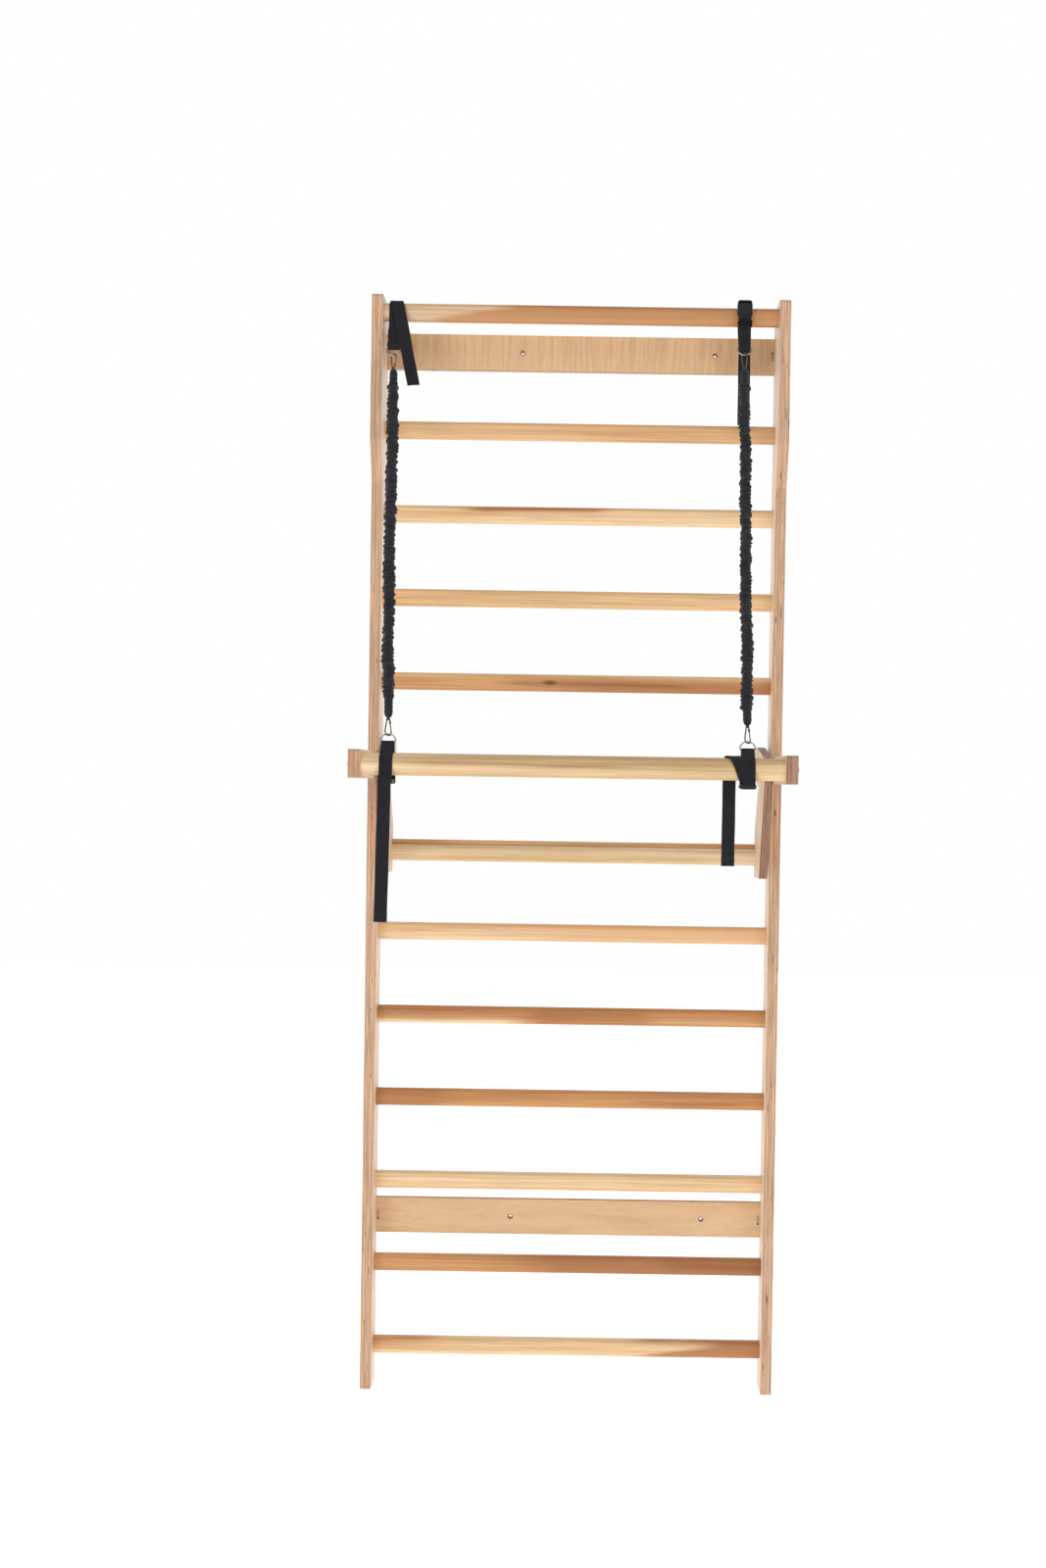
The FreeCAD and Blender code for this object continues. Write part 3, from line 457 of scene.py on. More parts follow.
def wood(name, pale, mid, dark, offset, figure=1.0, streaks=(), knot=None, sweep=None,
         drift=None, grain=(1, 60, 60)):
    """Varnished solid wood with its grain along X: growth bands, fine streaks, pores and dark marks."""
    made = Shader(name, roughness=0.42, specular=0.3)
    place = made.stretched(made.place(), (1, 1, 1), shift=(offset, offset * 0.7, 0))
    if knot:
        at, reach, pull = knot
        away = made.node("VectorMath", {0: made.place(), 1: at}, operation="SUBTRACT").outputs[0]
        near = made.node("VectorMath", {0: made.stretched(away, (0.35, 1, 1))}, operation="LENGTH")
        near = made.math("EXPONENT", made.math("MULTIPLY", near.outputs["Value"], -1 / reach))
        bend = made.node("CombineXYZ", {0: 0.0, 1: 0.0, 2: made.math("MULTIPLY", near, pull)})
        place = made.node("VectorMath", {0: place, 1: bend.outputs[0]}, operation="ADD").outputs[0]
    waver = made.noise(made.stretched(place, (1.3, 5, 5)), 1.0, 2)
    bands = made.noise(made.stretched(place, grain), 1.0, 3, 0.55, distortion=0.6 * figure)
    rings = made.math("ADD", made.math("MULTIPLY", waver, 0.55), made.math("MULTIPLY", bands, 0.45))
    tone = made.ramp(rings, [(0.4, dark), (0.5, mid), (0.6, pale)])
    lines = made.noise(made.stretched(place, (3.2, 230, 230)), 1.0, 4, 0.6, distortion=0.3 * figure)
    tone = made.mix(0.5, tone, made.ramp(lines, [(0.38, 0.64), (0.56, 1.12)]), "MULTIPLY")
    fibre = made.noise(made.stretched(place, (7, 620, 620)), 1.0, 4, 0.65)
    tone = made.mix(0.3, tone, made.ramp(fibre, [(0.3, 0.62), (0.55, 1.0)]), "MULTIPLY")
    pores = made.noise(made.stretched(place, (34, 1500, 1500)), 1.0, 2)
    pore_mask = made.ramp(pores, [(0.66, 0.0), (0.74, 1.0)])
    tone = made.mix(made.math("MULTIPLY", pore_mask, 0.28), tone, dark)
    parts = made.node("SeparateXYZ", {0: made.place()})
    if drift:
        start, end, deep = drift
        gone = made.math("DIVIDE", made.math("SUBTRACT", parts.outputs[0], start), end - start)
        gone = made.math("ADD", gone, made.math("MULTIPLY", made.math("SUBTRACT", waver, 0.5), 0.5))
        tone = made.mix(made.ramp(gone, [(0.0, 0.0), (1.0, 0.8)], smooth=True), tone, deep)
    if sweep:
        start, slope, height, deep = sweep
        rise = made.math("MULTIPLY", made.math("SUBTRACT", parts.outputs[2], height), slope)
        edge = made.math("SUBTRACT", made.math("ADD", parts.outputs[0], rise), start)
        edge = made.math("ADD", edge, made.math("MULTIPLY", made.math("SUBTRACT", bands, 0.5), 0.16))
        tone = made.mix(made.ramp(made.math("ADD", edge, 0.5), [(0.47, 0.0), (0.53, 0.85)]), tone, deep)
    for left, right, height, thin, deep, amount in streaks:
        centre = made.math("ADD", height, made.math("MULTIPLY", made.math("SUBTRACT", waver, 0.5), 0.03))
        off = made.math("ABSOLUTE", made.math("SUBTRACT", parts.outputs[2], centre))
        band = made.math("EXPONENT", made.math("MULTIPLY", off, -1 / thin))
        rough = made.math("ADD", 0.55, made.math("MULTIPLY", bands, 0.9))
        middle, half = (left + right) / 2, (right - left) / 2
        inside = made.math("ABSOLUTE", made.math("SUBTRACT", parts.outputs[0], middle))
        inside = made.ramp(made.math("DIVIDE", inside, half), [(0.55, 1.0), (1.0, 0.0)], smooth=True)
        mask = made.math("MULTIPLY", band, inside)
        mask = made.math("MULTIPLY", mask, made.math("MULTIPLY", rough, amount))
        tone = made.mix(made.math("MINIMUM", mask, 1.0), tone, deep)
    if knot:
        heart = made.ramp(near, [(0.45, 0.0), (0.85, 0.85)], smooth=True)
        tone = made.mix(heart, tone, srgb(112, 68, 40))
    gloss = made.ramp(made.noise(made.place(), 24, 3), [(0.3, 0.36), (0.7, 0.5)])
    relief = made.math("ADD", fibre, made.math("MULTIPLY", pore_mask, -0.8))
    return made.finish(tone, gloss, relief, strength=0.12, distance=0.0004)


RUNGS = {f"rung_{number:02d}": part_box(f"rung_{number:02d}") for number in range(1, 13)}
RUNGS["rung_top"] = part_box("rung_top")


def rung_middle(node):
    low, high = RUNGS[node]
    return (low.z + high.z) / 2


def dress_rung(node, *tones, offset, **details):
    material = wood(f"{node} wood", *tones, offset=offset, **details)
    dress(node, material)


def streak(node, left, right, lift, thin, deep, amount):
    return (left, right, rung_middle(node) + lift, thin, deep, amount)


dress_rung("rung_01", CREAM, PALE, HONEY, offset=3.1,
           sweep=(0.33, -6.0, rung_middle("rung_01") + 0.012, TOFFEE),
           streaks=[streak("rung_01", -0.62, -0.26, 0.015, 0.007, CARAMEL, 1.0),
                    streak("rung_01", 0.12, 0.5, 0.015, 0.005, TOFFEE, 0.9)])
dress_rung("rung_02", HONEY, GOLD, CARAMEL, offset=7.7, drift=(-0.22, 0.02, srgb(168, 110, 70)),
           streaks=[streak("rung_02", 0.18, 0.5, 0.002, 0.007, UMBER, 0.9),
                    streak("rung_02", -0.36, 0.0, -0.014, 0.005, CARAMEL, 0.7)])
dress_rung("rung_03", CREAM, srgb(241, 205, 160), PALE, offset=12.9)
dress_rung("rung_04", srgb(218, 163, 106), srgb(210, 152, 97), CARAMEL, offset=18.3, figure=1.6,
           streaks=[streak("rung_04", -0.6, -0.24, 0.012, 0.009, TOFFEE, 1.0),
                    streak("rung_04", -0.6, -0.26, -0.014, 0.006, UMBER, 0.8),
                    streak("rung_04", 0.12, 0.42, 0.0, 0.004, TOFFEE, 0.7)])
dress_rung("rung_05", CARAMEL, srgb(192, 130, 82), TOFFEE, offset=22.4, figure=1.5,
           streaks=[streak("rung_05", -0.62, -0.05, -0.014, 0.006, CREAM, 1.2),
                    streak("rung_05", -0.12, 0.2, 0.002, 0.006, UMBER, 0.6),
                    streak("rung_05", 0.14, 0.5, -0.015, 0.005, PALE, 0.6)])
dress_rung("rung_06", CREAM, srgb(242, 206, 166), PALE, offset=27.8,
           drift=(-0.3, 0.12, srgb(228, 181, 134)),
           streaks=[streak("rung_06", -0.4, 0.6, 0.015, 0.006, HONEY, 0.7)])
dress_rung("rung_07", PALE, HONEY, GOLD, offset=31.2)
dress_rung("rung_08", PALE, HONEY, GOLD, offset=36.9)
dress_rung("rung_09", HONEY, srgb(217, 162, 108), CARAMEL, offset=41.5, figure=1.5, drift=(-0.2, 0.1, TOFFEE),
           knot=((-0.058, -0.052, rung_middle("rung_09")), 0.011, 0.02),
           streaks=[streak("rung_09", -0.9, 0.9, 0.016, 0.006, PALE, 1.1),
                    streak("rung_09", -0.22, 0.3, -0.004, 0.005, UMBER, 0.6)])
dress_rung("rung_10", PALE, srgb(232, 188, 138), HONEY, offset=47.0)
dress_rung("rung_11", CREAM, srgb(240, 199, 151), HONEY, offset=52.6,
           streaks=[streak("rung_11", -0.28, 0.1, 0.011, 0.0065, TOFFEE, 1.3),
                    streak("rung_11", -0.1, 0.5, 0.013, 0.004, CARAMEL, 0.8)])
dress_rung("rung_12", PALE, srgb(229, 184, 136), HONEY, offset=58.1,
           streaks=[streak("rung_12", -0.9, 0.9, 0.016, 0.005, HONEY, 0.6)])
dress_rung("rung_top", srgb(232, 200, 162), srgb(225, 190, 152), PALE, offset=63.7,
           sweep=(-0.225, -5.0, rung_middle("rung_top"), srgb(194, 136, 86)),
           streaks=[streak("rung_top", -0.3, 1.1, 0.016, 0.008, TOFFEE, 1.1)])

# ------------------------------------------------------------------ bars of the attachment
# Two round bars turned from a pale yellow-green wood and varnished like the rungs.
STRAW = srgb(234, 203, 160)
OLIVE = srgb(212, 177, 130)
SAND = srgb(244, 219, 182)
bar_low, bar_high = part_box("front_bar")
lower_low, lower_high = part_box("lower_bar")
bar_z = (bar_low.z + bar_high.z) / 2
lower_z = (lower_low.z + lower_high.z) / 2
dress("front_bar", wood("front bar wood", SAND, STRAW, OLIVE, offset=70.2, grain=(0.9, 42, 42),
                        streaks=[(-0.4, 0.16, bar_z + 0.006, 0.0022, srgb(138, 104, 68), 0.7),
                                 (-0.1, 0.42, bar_z + 0.011, 0.0016, srgb(150, 114, 74), 0.5)]))
dress("lower_bar", wood("lower bar wood", SAND, STRAW, OLIVE, offset=77.9, grain=(0.9, 42, 42),
                        streaks=[(-0.42, 0.42, lower_z - 0.009, 0.006, srgb(206, 170, 114), 1.1)]))


# ------------------------------------------------------------------ plywood
# Rails, hook plates, arms and wall boards are cut from birch plywood. Its faces show a veneer, and
# its edges show the thin plies, some with short dark gaps, under a clear varnish.
def plywood(name, stack, middle, thick, plies, face, edge, grain_scale, figure, offset, shadowed_holes=()):
    """Birch plywood: stack is the axis that the plies are laid along, and middle the sheet's centre."""
    made = Shader(name, roughness=0.5, specular=0.4)
    place = made.stretched(made.place(), (1, 1, 1), shift=(offset, offset * 0.6, offset * 0.3))
    parts = made.node("SeparateXYZ", {0: made.place()})
    facing = made.node("SeparateXYZ", {0: made.node("NewGeometry").outputs["True Normal"]})
    on_face = made.math("ABSOLUTE", facing.outputs[stack])
    on_face = made.math("GREATER_THAN", on_face, 0.6)
    # edge: plies across the thickness, each wandering a little along its length
    long_way = [1.0, 1.0, 1.0]
    long_way[stack] = 0.0
    drift = made.noise(made.stretched(place, tuple(6 * n for n in long_way)), 1.0, 2)
    depth = made.math("SUBTRACT", parts.outputs[stack], middle - thick / 2)
    depth = made.math("DIVIDE", depth, thick / plies)
    depth = made.math("ADD", depth, made.math("MULTIPLY", drift, 0.9))
    layer = made.math("FLOOR", depth)
    turn = made.math("MULTIPLY", layer, 0.5)
    crossed = made.math("MULTIPLY", made.math("FRACT", turn), 2.0)
    glue = made.math("ABSOLUTE", made.math("SUBTRACT", made.math("FRACT", depth), 0.5))
    glue = made.ramp(glue, [(0.40, 0.0), (0.5, 1.0)])
    own = made.node("TexWhiteNoise", {"W": layer}, noise_dimensions="1D").outputs["Value"]
    pale, dark, line = edge
    tone = made.mix(made.math("MULTIPLY", crossed, 0.75), pale, dark)
    tone = made.mix(made.math("MULTIPLY", own, 0.55), tone, line)
    groups = made.noise(made.stretched(place, tuple(310 if axis == stack else 7 for axis in range(3))), 1.0, 3, 0.6)
    tone = made.mix(0.7, tone, made.ramp(groups, [(0.38, 0.70), (0.58, 1.30)]), "MULTIPLY")
    tone = made.mix(made.math("MULTIPLY", glue, 0.45), tone, line)
    squeezed = [760 if axis == stack else 15 for axis in range(3)]
    fibre = made.noise(made.stretched(place, tuple(squeezed)), 1.0, 4, 0.7)
    tone = made.mix(0.6, tone, made.ramp(fibre, [(0.32, 0.58), (0.6, 1.08)]), "MULTIPLY")
    gaps = made.noise(made.stretched(place, tuple(240 if axis == stack else 26 for axis in range(3))), 1.0, 2)
    gaps = made.ramp(gaps, [(0.665, 0.0), (0.71, 1.0)])
    tone = made.mix(made.math("MULTIPLY", gaps, 0.8), tone, srgb(98, 66, 46))
    # face: one sheet of rotary-cut veneer
    light, mid, deep = face
    waver = made.noise(made.stretched(place, tuple(3 * n for n in grain_scale[0])), 1.0, 2)
    warped = made.node("CombineXYZ", {n: made.math("MULTIPLY", waver, figure[n]) for n in range(3)})
    curly = made.node("VectorMath", {0: place, 1: warped.outputs[0]}, operation="ADD").outputs[0]
    veneer = made.noise(made.stretched(curly, grain_scale[1]), 1.0, 3, 0.55)
    sheet = made.ramp(veneer, [(0.36, deep), (0.5, mid), (0.62, light)])
    flecks = made.noise(made.stretched(curly, tuple(9 * n for n in grain_scale[1])), 1.0, 3, 0.7)
    sheet = made.mix(0.3, sheet, made.ramp(flecks, [(0.32, 0.72), (0.6, 1.04)]), "MULTIPLY")
    # Painted shadow: the face is darkened to a dark brown ring round each screw hole, standing in for the shade inside
    # the hole's rim.
    for x, z in shadowed_holes:
        away = made.node("VectorMath", {0: made.place(), 1: (x, 0, z)}, operation="SUBTRACT").outputs[0]
        away = made.node("VectorMath", {0: made.stretched(away, (1, 0, 1))}, operation="LENGTH")
        hole_shadow = made.ramp(made.math("MULTIPLY", away.outputs["Value"], 100), [(0.52, 0.85), (0.66, 0.0)])
        sheet = made.mix(hole_shadow, sheet, srgb(112, 74, 48))
    tone = made.mix(on_face, tone, sheet)
    relief = made.math("ADD", made.math("MULTIPLY", fibre, 0.6), made.math("MULTIPLY", gaps, -1.2))
    gloss = made.ramp(made.noise(made.place(), 30, 3), [(0.3, 0.42), (0.7, 0.56)])
    return made.finish(tone, gloss, relief, strength=0.2, distance=0.0005)


UPRIGHT = ((0.6, 0.6, 0.25), (38, 38, 2.2))
RAIL_FACE = (srgb(244, 224, 204), srgb(239, 215, 192), srgb(226, 198, 172))
RAIL_EDGE = (srgb(240, 204, 170), srgb(206, 160, 124), srgb(150, 104, 76))
PLATE_FACE = (srgb(232, 206, 180), srgb(222, 192, 162), srgb(206, 172, 140))
PLATE_EDGE = (srgb(176, 132, 104), srgb(140, 98, 76), srgb(98, 64, 48))
# The arms' ply edges: the right arm's colours are darker than the left's. This is partly the arm's own wood and partly
# painted shade, because the key light falls from the left.
ARM_EDGE_TONE_AND_SHADE = {
    "left": (srgb(228, 184, 150), srgb(190, 142, 112), srgb(132, 88, 66)),
    "right": (srgb(204, 162, 132), srgb(168, 124, 98), srgb(116, 78, 60)),
}
FORWARD = ((0.6, 0.25, 0.6), (38, 2.2, 38))
RISING = (0, 0.004, 0.02)
for side, lean in zip(SIDES, (0.0, 5.3)):
    sheets = (
        (f"rail_{side}", "rail", 17, RAIL_FACE, RAIL_EDGE, UPRIGHT, RISING, 2.0, "rail_plywood"),
        (f"hook_plate_{side}", "hook plate", 15, PLATE_FACE, PLATE_EDGE, UPRIGHT, RISING, 11.0,
         "attachment_plywood"),
        (f"arm_{side}", "arm", 17, PLATE_FACE, ARM_EDGE_TONE_AND_SHADE[side], FORWARD, (0, 0.02, 0.004), 23.0,
         "attachment_plywood"),
    )
    for node, kind, plies, face, edge, grain, figure, offset, slot in sheets:
        low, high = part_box(node)
        finish = plywood(f"{side} {kind} plywood", 0, (low.x + high.x) / 2, high.x - low.x, plies,
                         face, edge, grain, figure, offset + lean)
        dress(node, finish)
        soften(node, 0.0012)

BOARD_FACE = (srgb(230, 193, 151), srgb(225, 186, 143), srgb(218, 176, 133))
BOARD_EDGE = (srgb(216, 178, 140), srgb(180, 134, 98), srgb(148, 104, 76))
# Where the wall boards' screw holes sit; each gets a painted shadow ring on the board's face.
WALL_SCREWS_X = (-0.130, 0.298)
BOARD_GRAIN = {
    "wall_board_upper": (((5.0, 0.9, 3.5), (120, 24, 7.0)), (0.016, 0, 0.02), 31.0),
    "wall_board_lower": (((1.1, 0.9, 2.2), (3.2, 24, 26)), (0.02, 0, 0.05), 36.0),
}
for node, (grain, figure, offset) in BOARD_GRAIN.items():
    low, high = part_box(node)
    finish = plywood(f"{node} plywood", 1, (low.y + high.y) / 2, high.y - low.y, 13, BOARD_FACE, BOARD_EDGE,
                     grain, figure, offset, shadowed_holes=[(x, (low.z + high.z) / 2) for x in WALL_SCREWS_X])
    dress(node, finish)
    soften(node, 0.001)

# ------------------------------------------------------------------ fasteners
# Zinc-plated screws, bolts and nuts, dulled by handling, and two reddish domed caps on the arms.
zinc = Shader("zinc plate", roughness=0.4, metallic=1.0)
cloud = zinc.noise(zinc.place(), 190, 4, 0.6)
tone = zinc.ramp(cloud, [(0.3, srgb(168, 164, 154)), (0.7, srgb(206, 202, 190))])
scuff = zinc.noise(zinc.stretched(zinc.place(), (900, 140, 900)), 1.0, 3)
ZINC = zinc.finish(tone, zinc.ramp(scuff, [(0.3, 0.3), (0.7, 0.55)]), cloud, strength=0.15, distance=0.0002)
PLATED = ("rung_bolts_left", "rung_bolts_right", "board_bolts", "board_nuts", "lower_bar_bolts", "arm_screws")
for node in PLATED:
    dress(node, ZINC)

cap = Shader("reddish cap", roughness=0.38, specular=0.5)
grains = cap.noise(cap.stretched(cap.place(), (90, 420, 160)), 1.0, 3)
tone = cap.ramp(grains, [(0.3, srgb(168, 88, 52)), (0.7, srgb(206, 122, 78))])
CAP = cap.finish(tone, height=grains, strength=0.1, distance=0.0003)
dress("front_bar_bolts", CAP)

# ------------------------------------------------------------------ rings and snap hooks
# Bent steel wire: nickel on the rings, and a darker bronze-grey nickel on the hooks.
def plated(name, pale, deep, rough):
    made = Shader(name, roughness=rough, metallic=1.0)
    haze = made.noise(made.place(), 240, 4, 0.6)
    scratches = made.noise(made.stretched(made.place(), (300, 300, 2600)), 1.0, 2)
    tone = made.ramp(haze, [(0.3, deep), (0.7, pale)])
    gloss = made.ramp(scratches, [(0.35, rough * 0.7), (0.7, rough * 1.7)])
    return made.finish(tone, gloss, scratches, strength=0.08, distance=0.0001)


NICKEL = plated("nickel plate", srgb(196, 189, 181), srgb(136, 128, 120), 0.2)
DARK_NICKEL = plated("dark nickel plate", srgb(152, 131, 110), srgb(88, 73, 60), 0.24)
for place in PLACES:
    dress(f"d_ring_{place}", NICKEL)
    dress(f"snap_hook_{place}", DARK_NICKEL)
    dress(f"hook_gate_{place}", DARK_NICKEL)

# ------------------------------------------------------------------ buckles
# Side-release buckles moulded in black acetal: a socket with a waist and two side windows, and a
# plug whose sprung prongs show in those windows. The plug's base has two slots for the webbing.
moulded = Shader("black acetal", roughness=0.34, specular=0.35)
grit = moulded.noise(moulded.place(), 1900, 3, 0.6)
tone = moulded.ramp(moulded.noise(moulded.place(), 60, 3), [(0.3, srgb(7, 7, 9)), (0.7, srgb(13, 13, 15))])
gloss = moulded.ramp(grit, [(0.3, 0.27), (0.7, 0.42)])
ACETAL = moulded.finish(tone, gloss, grit, strength=0.2, distance=0.0001)
BUCKLE_THICK = 0.011
SOCKET_LONG = 0.043
PLUG_LONG = 0.017
# Each buckle: the middle of its socket's mouth, and the direction from there into the socket.
BUCKLES = {
    "top_left": (Vector((-0.4060, -0.1052, 2.3040)), -32.2),
    "top_right": (Vector((0.3550, -0.1224, 2.3590)), -8),
    "bottom_left": (Vector((-0.3708, -0.4880, 1.3463)), -90),
    "bottom_right": (Vector((0.3460, -0.4660, 1.3463)), 90),
}


def buckle_matrix(place):
    at, tilt = BUCKLES[place]
    return Matrix.Translation(at) @ Matrix.Rotation(math.radians(tilt), 4, "X")


def loft(name, stations, square=4.0, spokes=40):
    """A closed form along Z; stations are (z, half width, half thickness), each a rounded rectangle."""
    points = []
    faces = []
    for z, wide, thick in stations:
        for j in range(spokes):
            angle = 2 * math.pi * j / spokes
            c, d = math.cos(angle), math.sin(angle)
            x = math.copysign(abs(c) ** (2 / square), c) * wide
            y = math.copysign(abs(d) ** (2 / square), d) * thick
            points.append((x, y, z))
    for i in range(len(stations) - 1):
        for j in range(spokes):
            k = (j + 1) % spokes
            faces.append((i * spokes + j, i * spokes + k, (i + 1) * spokes + k, (i + 1) * spokes + j))
    faces.append(tuple(reversed(range(spokes))))
    faces.append(tuple(range((len(stations) - 1) * spokes, len(stations) * spokes)))
    return new_piece(name, points, faces)


def cut_away(piece, cutters):
    """Take the cutters' volume out of a piece, and remove them."""
    for cutter in cutters:
        bite = piece.modifiers.new("cut", "BOOLEAN")
        bite.operation = "DIFFERENCE"
        bite.solver = "EXACT"
        bite.object = cutter
        bpy.context.view_layer.update()
        cut = bpy.data.meshes.new_from_object(piece.evaluated_get(bpy.context.evaluated_depsgraph_get()))
        piece.modifiers.clear()
        piece.data = cut
        bpy.data.objects.remove(cutter)


def rounded_slab(name, low, high):
    """A small cutter block between two corners."""
    x0, y0, z0 = low
    x1, y1, z1 = high
    middle = ((x0 + x1) / 2, (y0 + y1) / 2)
    steps = [(z0, 0.86), (z0 + (z1 - z0) * 0.08, 1.0), (z1 - (z1 - z0) * 0.08, 1.0), (z1, 0.86)]
    slab = loft(name, [(z, (x1 - x0) / 2 * k, (y1 - y0) / 2 * k) for z, k in steps], square=9.0, spokes=32)
    slab.data.transform(Matrix.Translation((*middle, 0)))
    return slab


def crisp(piece, width):
    bevel = piece.modifiers.new("moulded edges", "BEVEL")
    bevel.width = width
    bevel.segments = 2
    bevel.limit_method = "ANGLE"
    bevel.angle_limit = math.radians(38)
    piece.data.polygons.foreach_set("use_smooth", [True] * len(piece.data.polygons))


def make_socket_shell(place, body):
    stations = []
    for step in range(31):
        z = SOCKET_LONG * step / 30
        flare = (1 - math.cos(math.pi * min(1.0, z / 0.017))) / 2
        wide = 0.0128 + 0.0038 * flare
        top = max(0.0, (z - 0.030) / 0.013)
        wide -= 0.0024 * top**2.2
        thick = BUCKLE_THICK / 2 * (0.84 + 0.16 * flare) * (1 - 0.22 * top**3)
        stations.append((z, wide, thick))
    shell = loft(f"buckle_shell_{place}", stations)
    cutters = [
        rounded_slab("mouth", (-0.0112, -0.0034, -0.001), (0.0112, 0.0034, 0.030)),
        rounded_slab("right window", (0.0112, -0.0040, 0.009), (0.0200, 0.0040, 0.027)),
        rounded_slab("left window", (-0.0200, -0.0040, 0.009), (-0.0112, 0.0040, 0.027)),
        rounded_slab("slot", (-0.0135, -0.008, 0.0355), (0.0135, 0.008, 0.0390)),
        rounded_slab("front panel", (-0.0085, -0.0070, 0.0125), (0.0085, -0.0050, 0.0240)),
        rounded_slab("back panel", (-0.0085, 0.0050, 0.0125), (0.0085, 0.0070, 0.0240)),
    ]
    cut_away(shell, cutters)
    crisp(shell, 0.0005)
    shell.data.transform(buckle_matrix(place))
    shell.data.materials.append(ACETAL)
    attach(shell, body)
    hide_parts(f"buckle_socket_{place}")


def make_plug_fork(place, body):
    stations = []
    for step in range(13):
        z = -PLUG_LONG + (PLUG_LONG - 0.0006) * step / 12
        ends = abs(step - 6) / 6
        stations.append((z, 0.0158 - 0.0014 * ends**5, 0.0043 - 0.0006 * ends**4))
    fork = loft(f"buckle_fork_{place}", stations, square=5.0)
    cut_away(
        fork,
        [
            rounded_slab("slot", (-0.0135, -0.008, -0.0138), (0.0135, 0.008, -0.0105)),
            rounded_slab("slot", (-0.0135, -0.008, -0.0078), (0.0135, 0.008, -0.0045)),
        ],
    )
    parts = [fork]
    for sign in (-1, 1):
        arm = [(-0.001, 0.0022, 0.0026), (0.006, 0.0020, 0.0026), (0.010, 0.0021, 0.0027)]
        arm += [(0.0125, 0.0034, 0.0031), (0.018, 0.0036, 0.0032), (0.0235, 0.0030, 0.0031)]
        arm += [(0.026, 0.0012, 0.0024)]
        prong = loft("prong", arm, square=3.0, spokes=24)
        for vertex in prong.data.vertices:
            vertex.co.x += sign * (0.0112 + 0.0018 * math.sin(max(0, vertex.co.z) / 0.026 * math.pi))
        parts.append(prong)
    tongue = [(-0.001, 0.0040, 0.0020), (0.018, 0.0036, 0.0019), (0.0225, 0.0018, 0.0014)]
    parts.append(loft("tongue", tongue, square=4.0, spokes=24))
    bpy.ops.object.select_all(action="DESELECT")
    for part in parts:
        part.select_set(True)
    bpy.context.view_layer.objects.active = fork
    bpy.ops.object.join()
    crisp(fork, 0.0004)
    fork.data.transform(buckle_matrix(place))
    fork.data.materials.clear()
    fork.data.materials.append(ACETAL)
    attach(fork, body)
    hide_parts(f"buckle_plug_{place}")


for place in PLACES:
    carrier = "ladder" if "top" in place else "bar_attachment"
    make_socket_shell(place, carrier)
    make_plug_fork(place, carrier)

# ------------------------------------------------------------------ webbing slings
# Black polypropylene webbing, 25 mm wide, woven in fine lengthwise ribs. Each strap runs from the
# buckle round the rung or bar and through a D-ring, and its free tail ends in a sewn hem.
STRAP_WIDE = 0.0264
STRAP_THICK = 0.0017
STRAP_GAP = 0.0005
LIE = STRAP_GAP + STRAP_THICK / 2
RUNG_MID = (-0.095, (RUNGS["rung_top"][0].z + RUNGS["rung_top"][1].z) / 2)
BAR_MID = (-0.485, bar_z)
CORNER_Y, CORNER_Z, CORNER_R = 0.004, 0.008, 0.011 + LIE
BAR_R = 0.0225 + LIE
WIRE_R = 0.0015 + LIE
PULL = math.degrees(math.atan2(RUNG_MID[1] - BAR_MID[1], RUNG_MID[0] - BAR_MID[0]))

weave = Shader("black webbing", roughness=0.8, specular=0.22)
weave.surface.inputs["Sheen Weight"].default_value = 0.08
cloth = weave.weave_place()
run = weave.node("SeparateXYZ", {0: cloth})
warp = weave.math("MULTIPLY", run.outputs[0], 2 * math.pi / 0.00155)
weft = weave.math("MULTIPLY", run.outputs[1], 2 * math.pi / 0.0021)
rib = weave.math("SINE", warp)
step_over = weave.math("SINE", weave.math("ADD", weft, weave.math("MULTIPLY", warp, 0.5)))
cords = weave.math("ADD", weave.math("MULTIPLY", rib, 0.6), weave.math("MULTIPLY", step_over, 0.4))
lint = weave.noise(weave.place(), 700, 4, 0.7)
worn = weave.noise(weave.place(), 30, 3)
tone = weave.ramp(weave.math("ADD", weave.math("MULTIPLY", cords, 0.22), 0.5),
                  [(0.25, srgb(11, 11, 14)), (0.8, srgb(33, 33, 39))])
tone = weave.mix(weave.ramp(worn, [(0.45, 0.0), (0.75, 0.28)]), tone, srgb(42, 42, 49))
tone = weave.mix(weave.math("MULTIPLY", lint, 0.14), tone, srgb(62, 62, 71))
WEBBING = weave.finish(tone, height=weave.math("ADD", cords, lint), strength=0.5, distance=0.00035)


def arc(centre, radius, start, end, steps=10):
    """Points (y, z) on an arc between two angles in degrees; 0 is towards the wall and 90 is up."""
    angles = np.radians(np.linspace(start, end, steps))
    return [(centre[0] + radius * math.cos(a), centre[1] + radius * math.sin(a)) for a in angles]


def even(route, step, soften_by):
    """A route as evenly spaced points, its corners eased."""
    line = np.array(route, float)
    for _ in range(2):
        gone = distances(line)
        wanted = np.linspace(0, gone[-1], max(4, round(gone[-1] / step) + 1))
        line = np.stack([np.interp(wanted, gone, line[:, axis]) for axis in range(3)], axis=1)
        for _ in range(soften_by):
            line[1:-1] = (line[:-2] + 2 * line[1:-1] + line[2:]) / 4
    return line


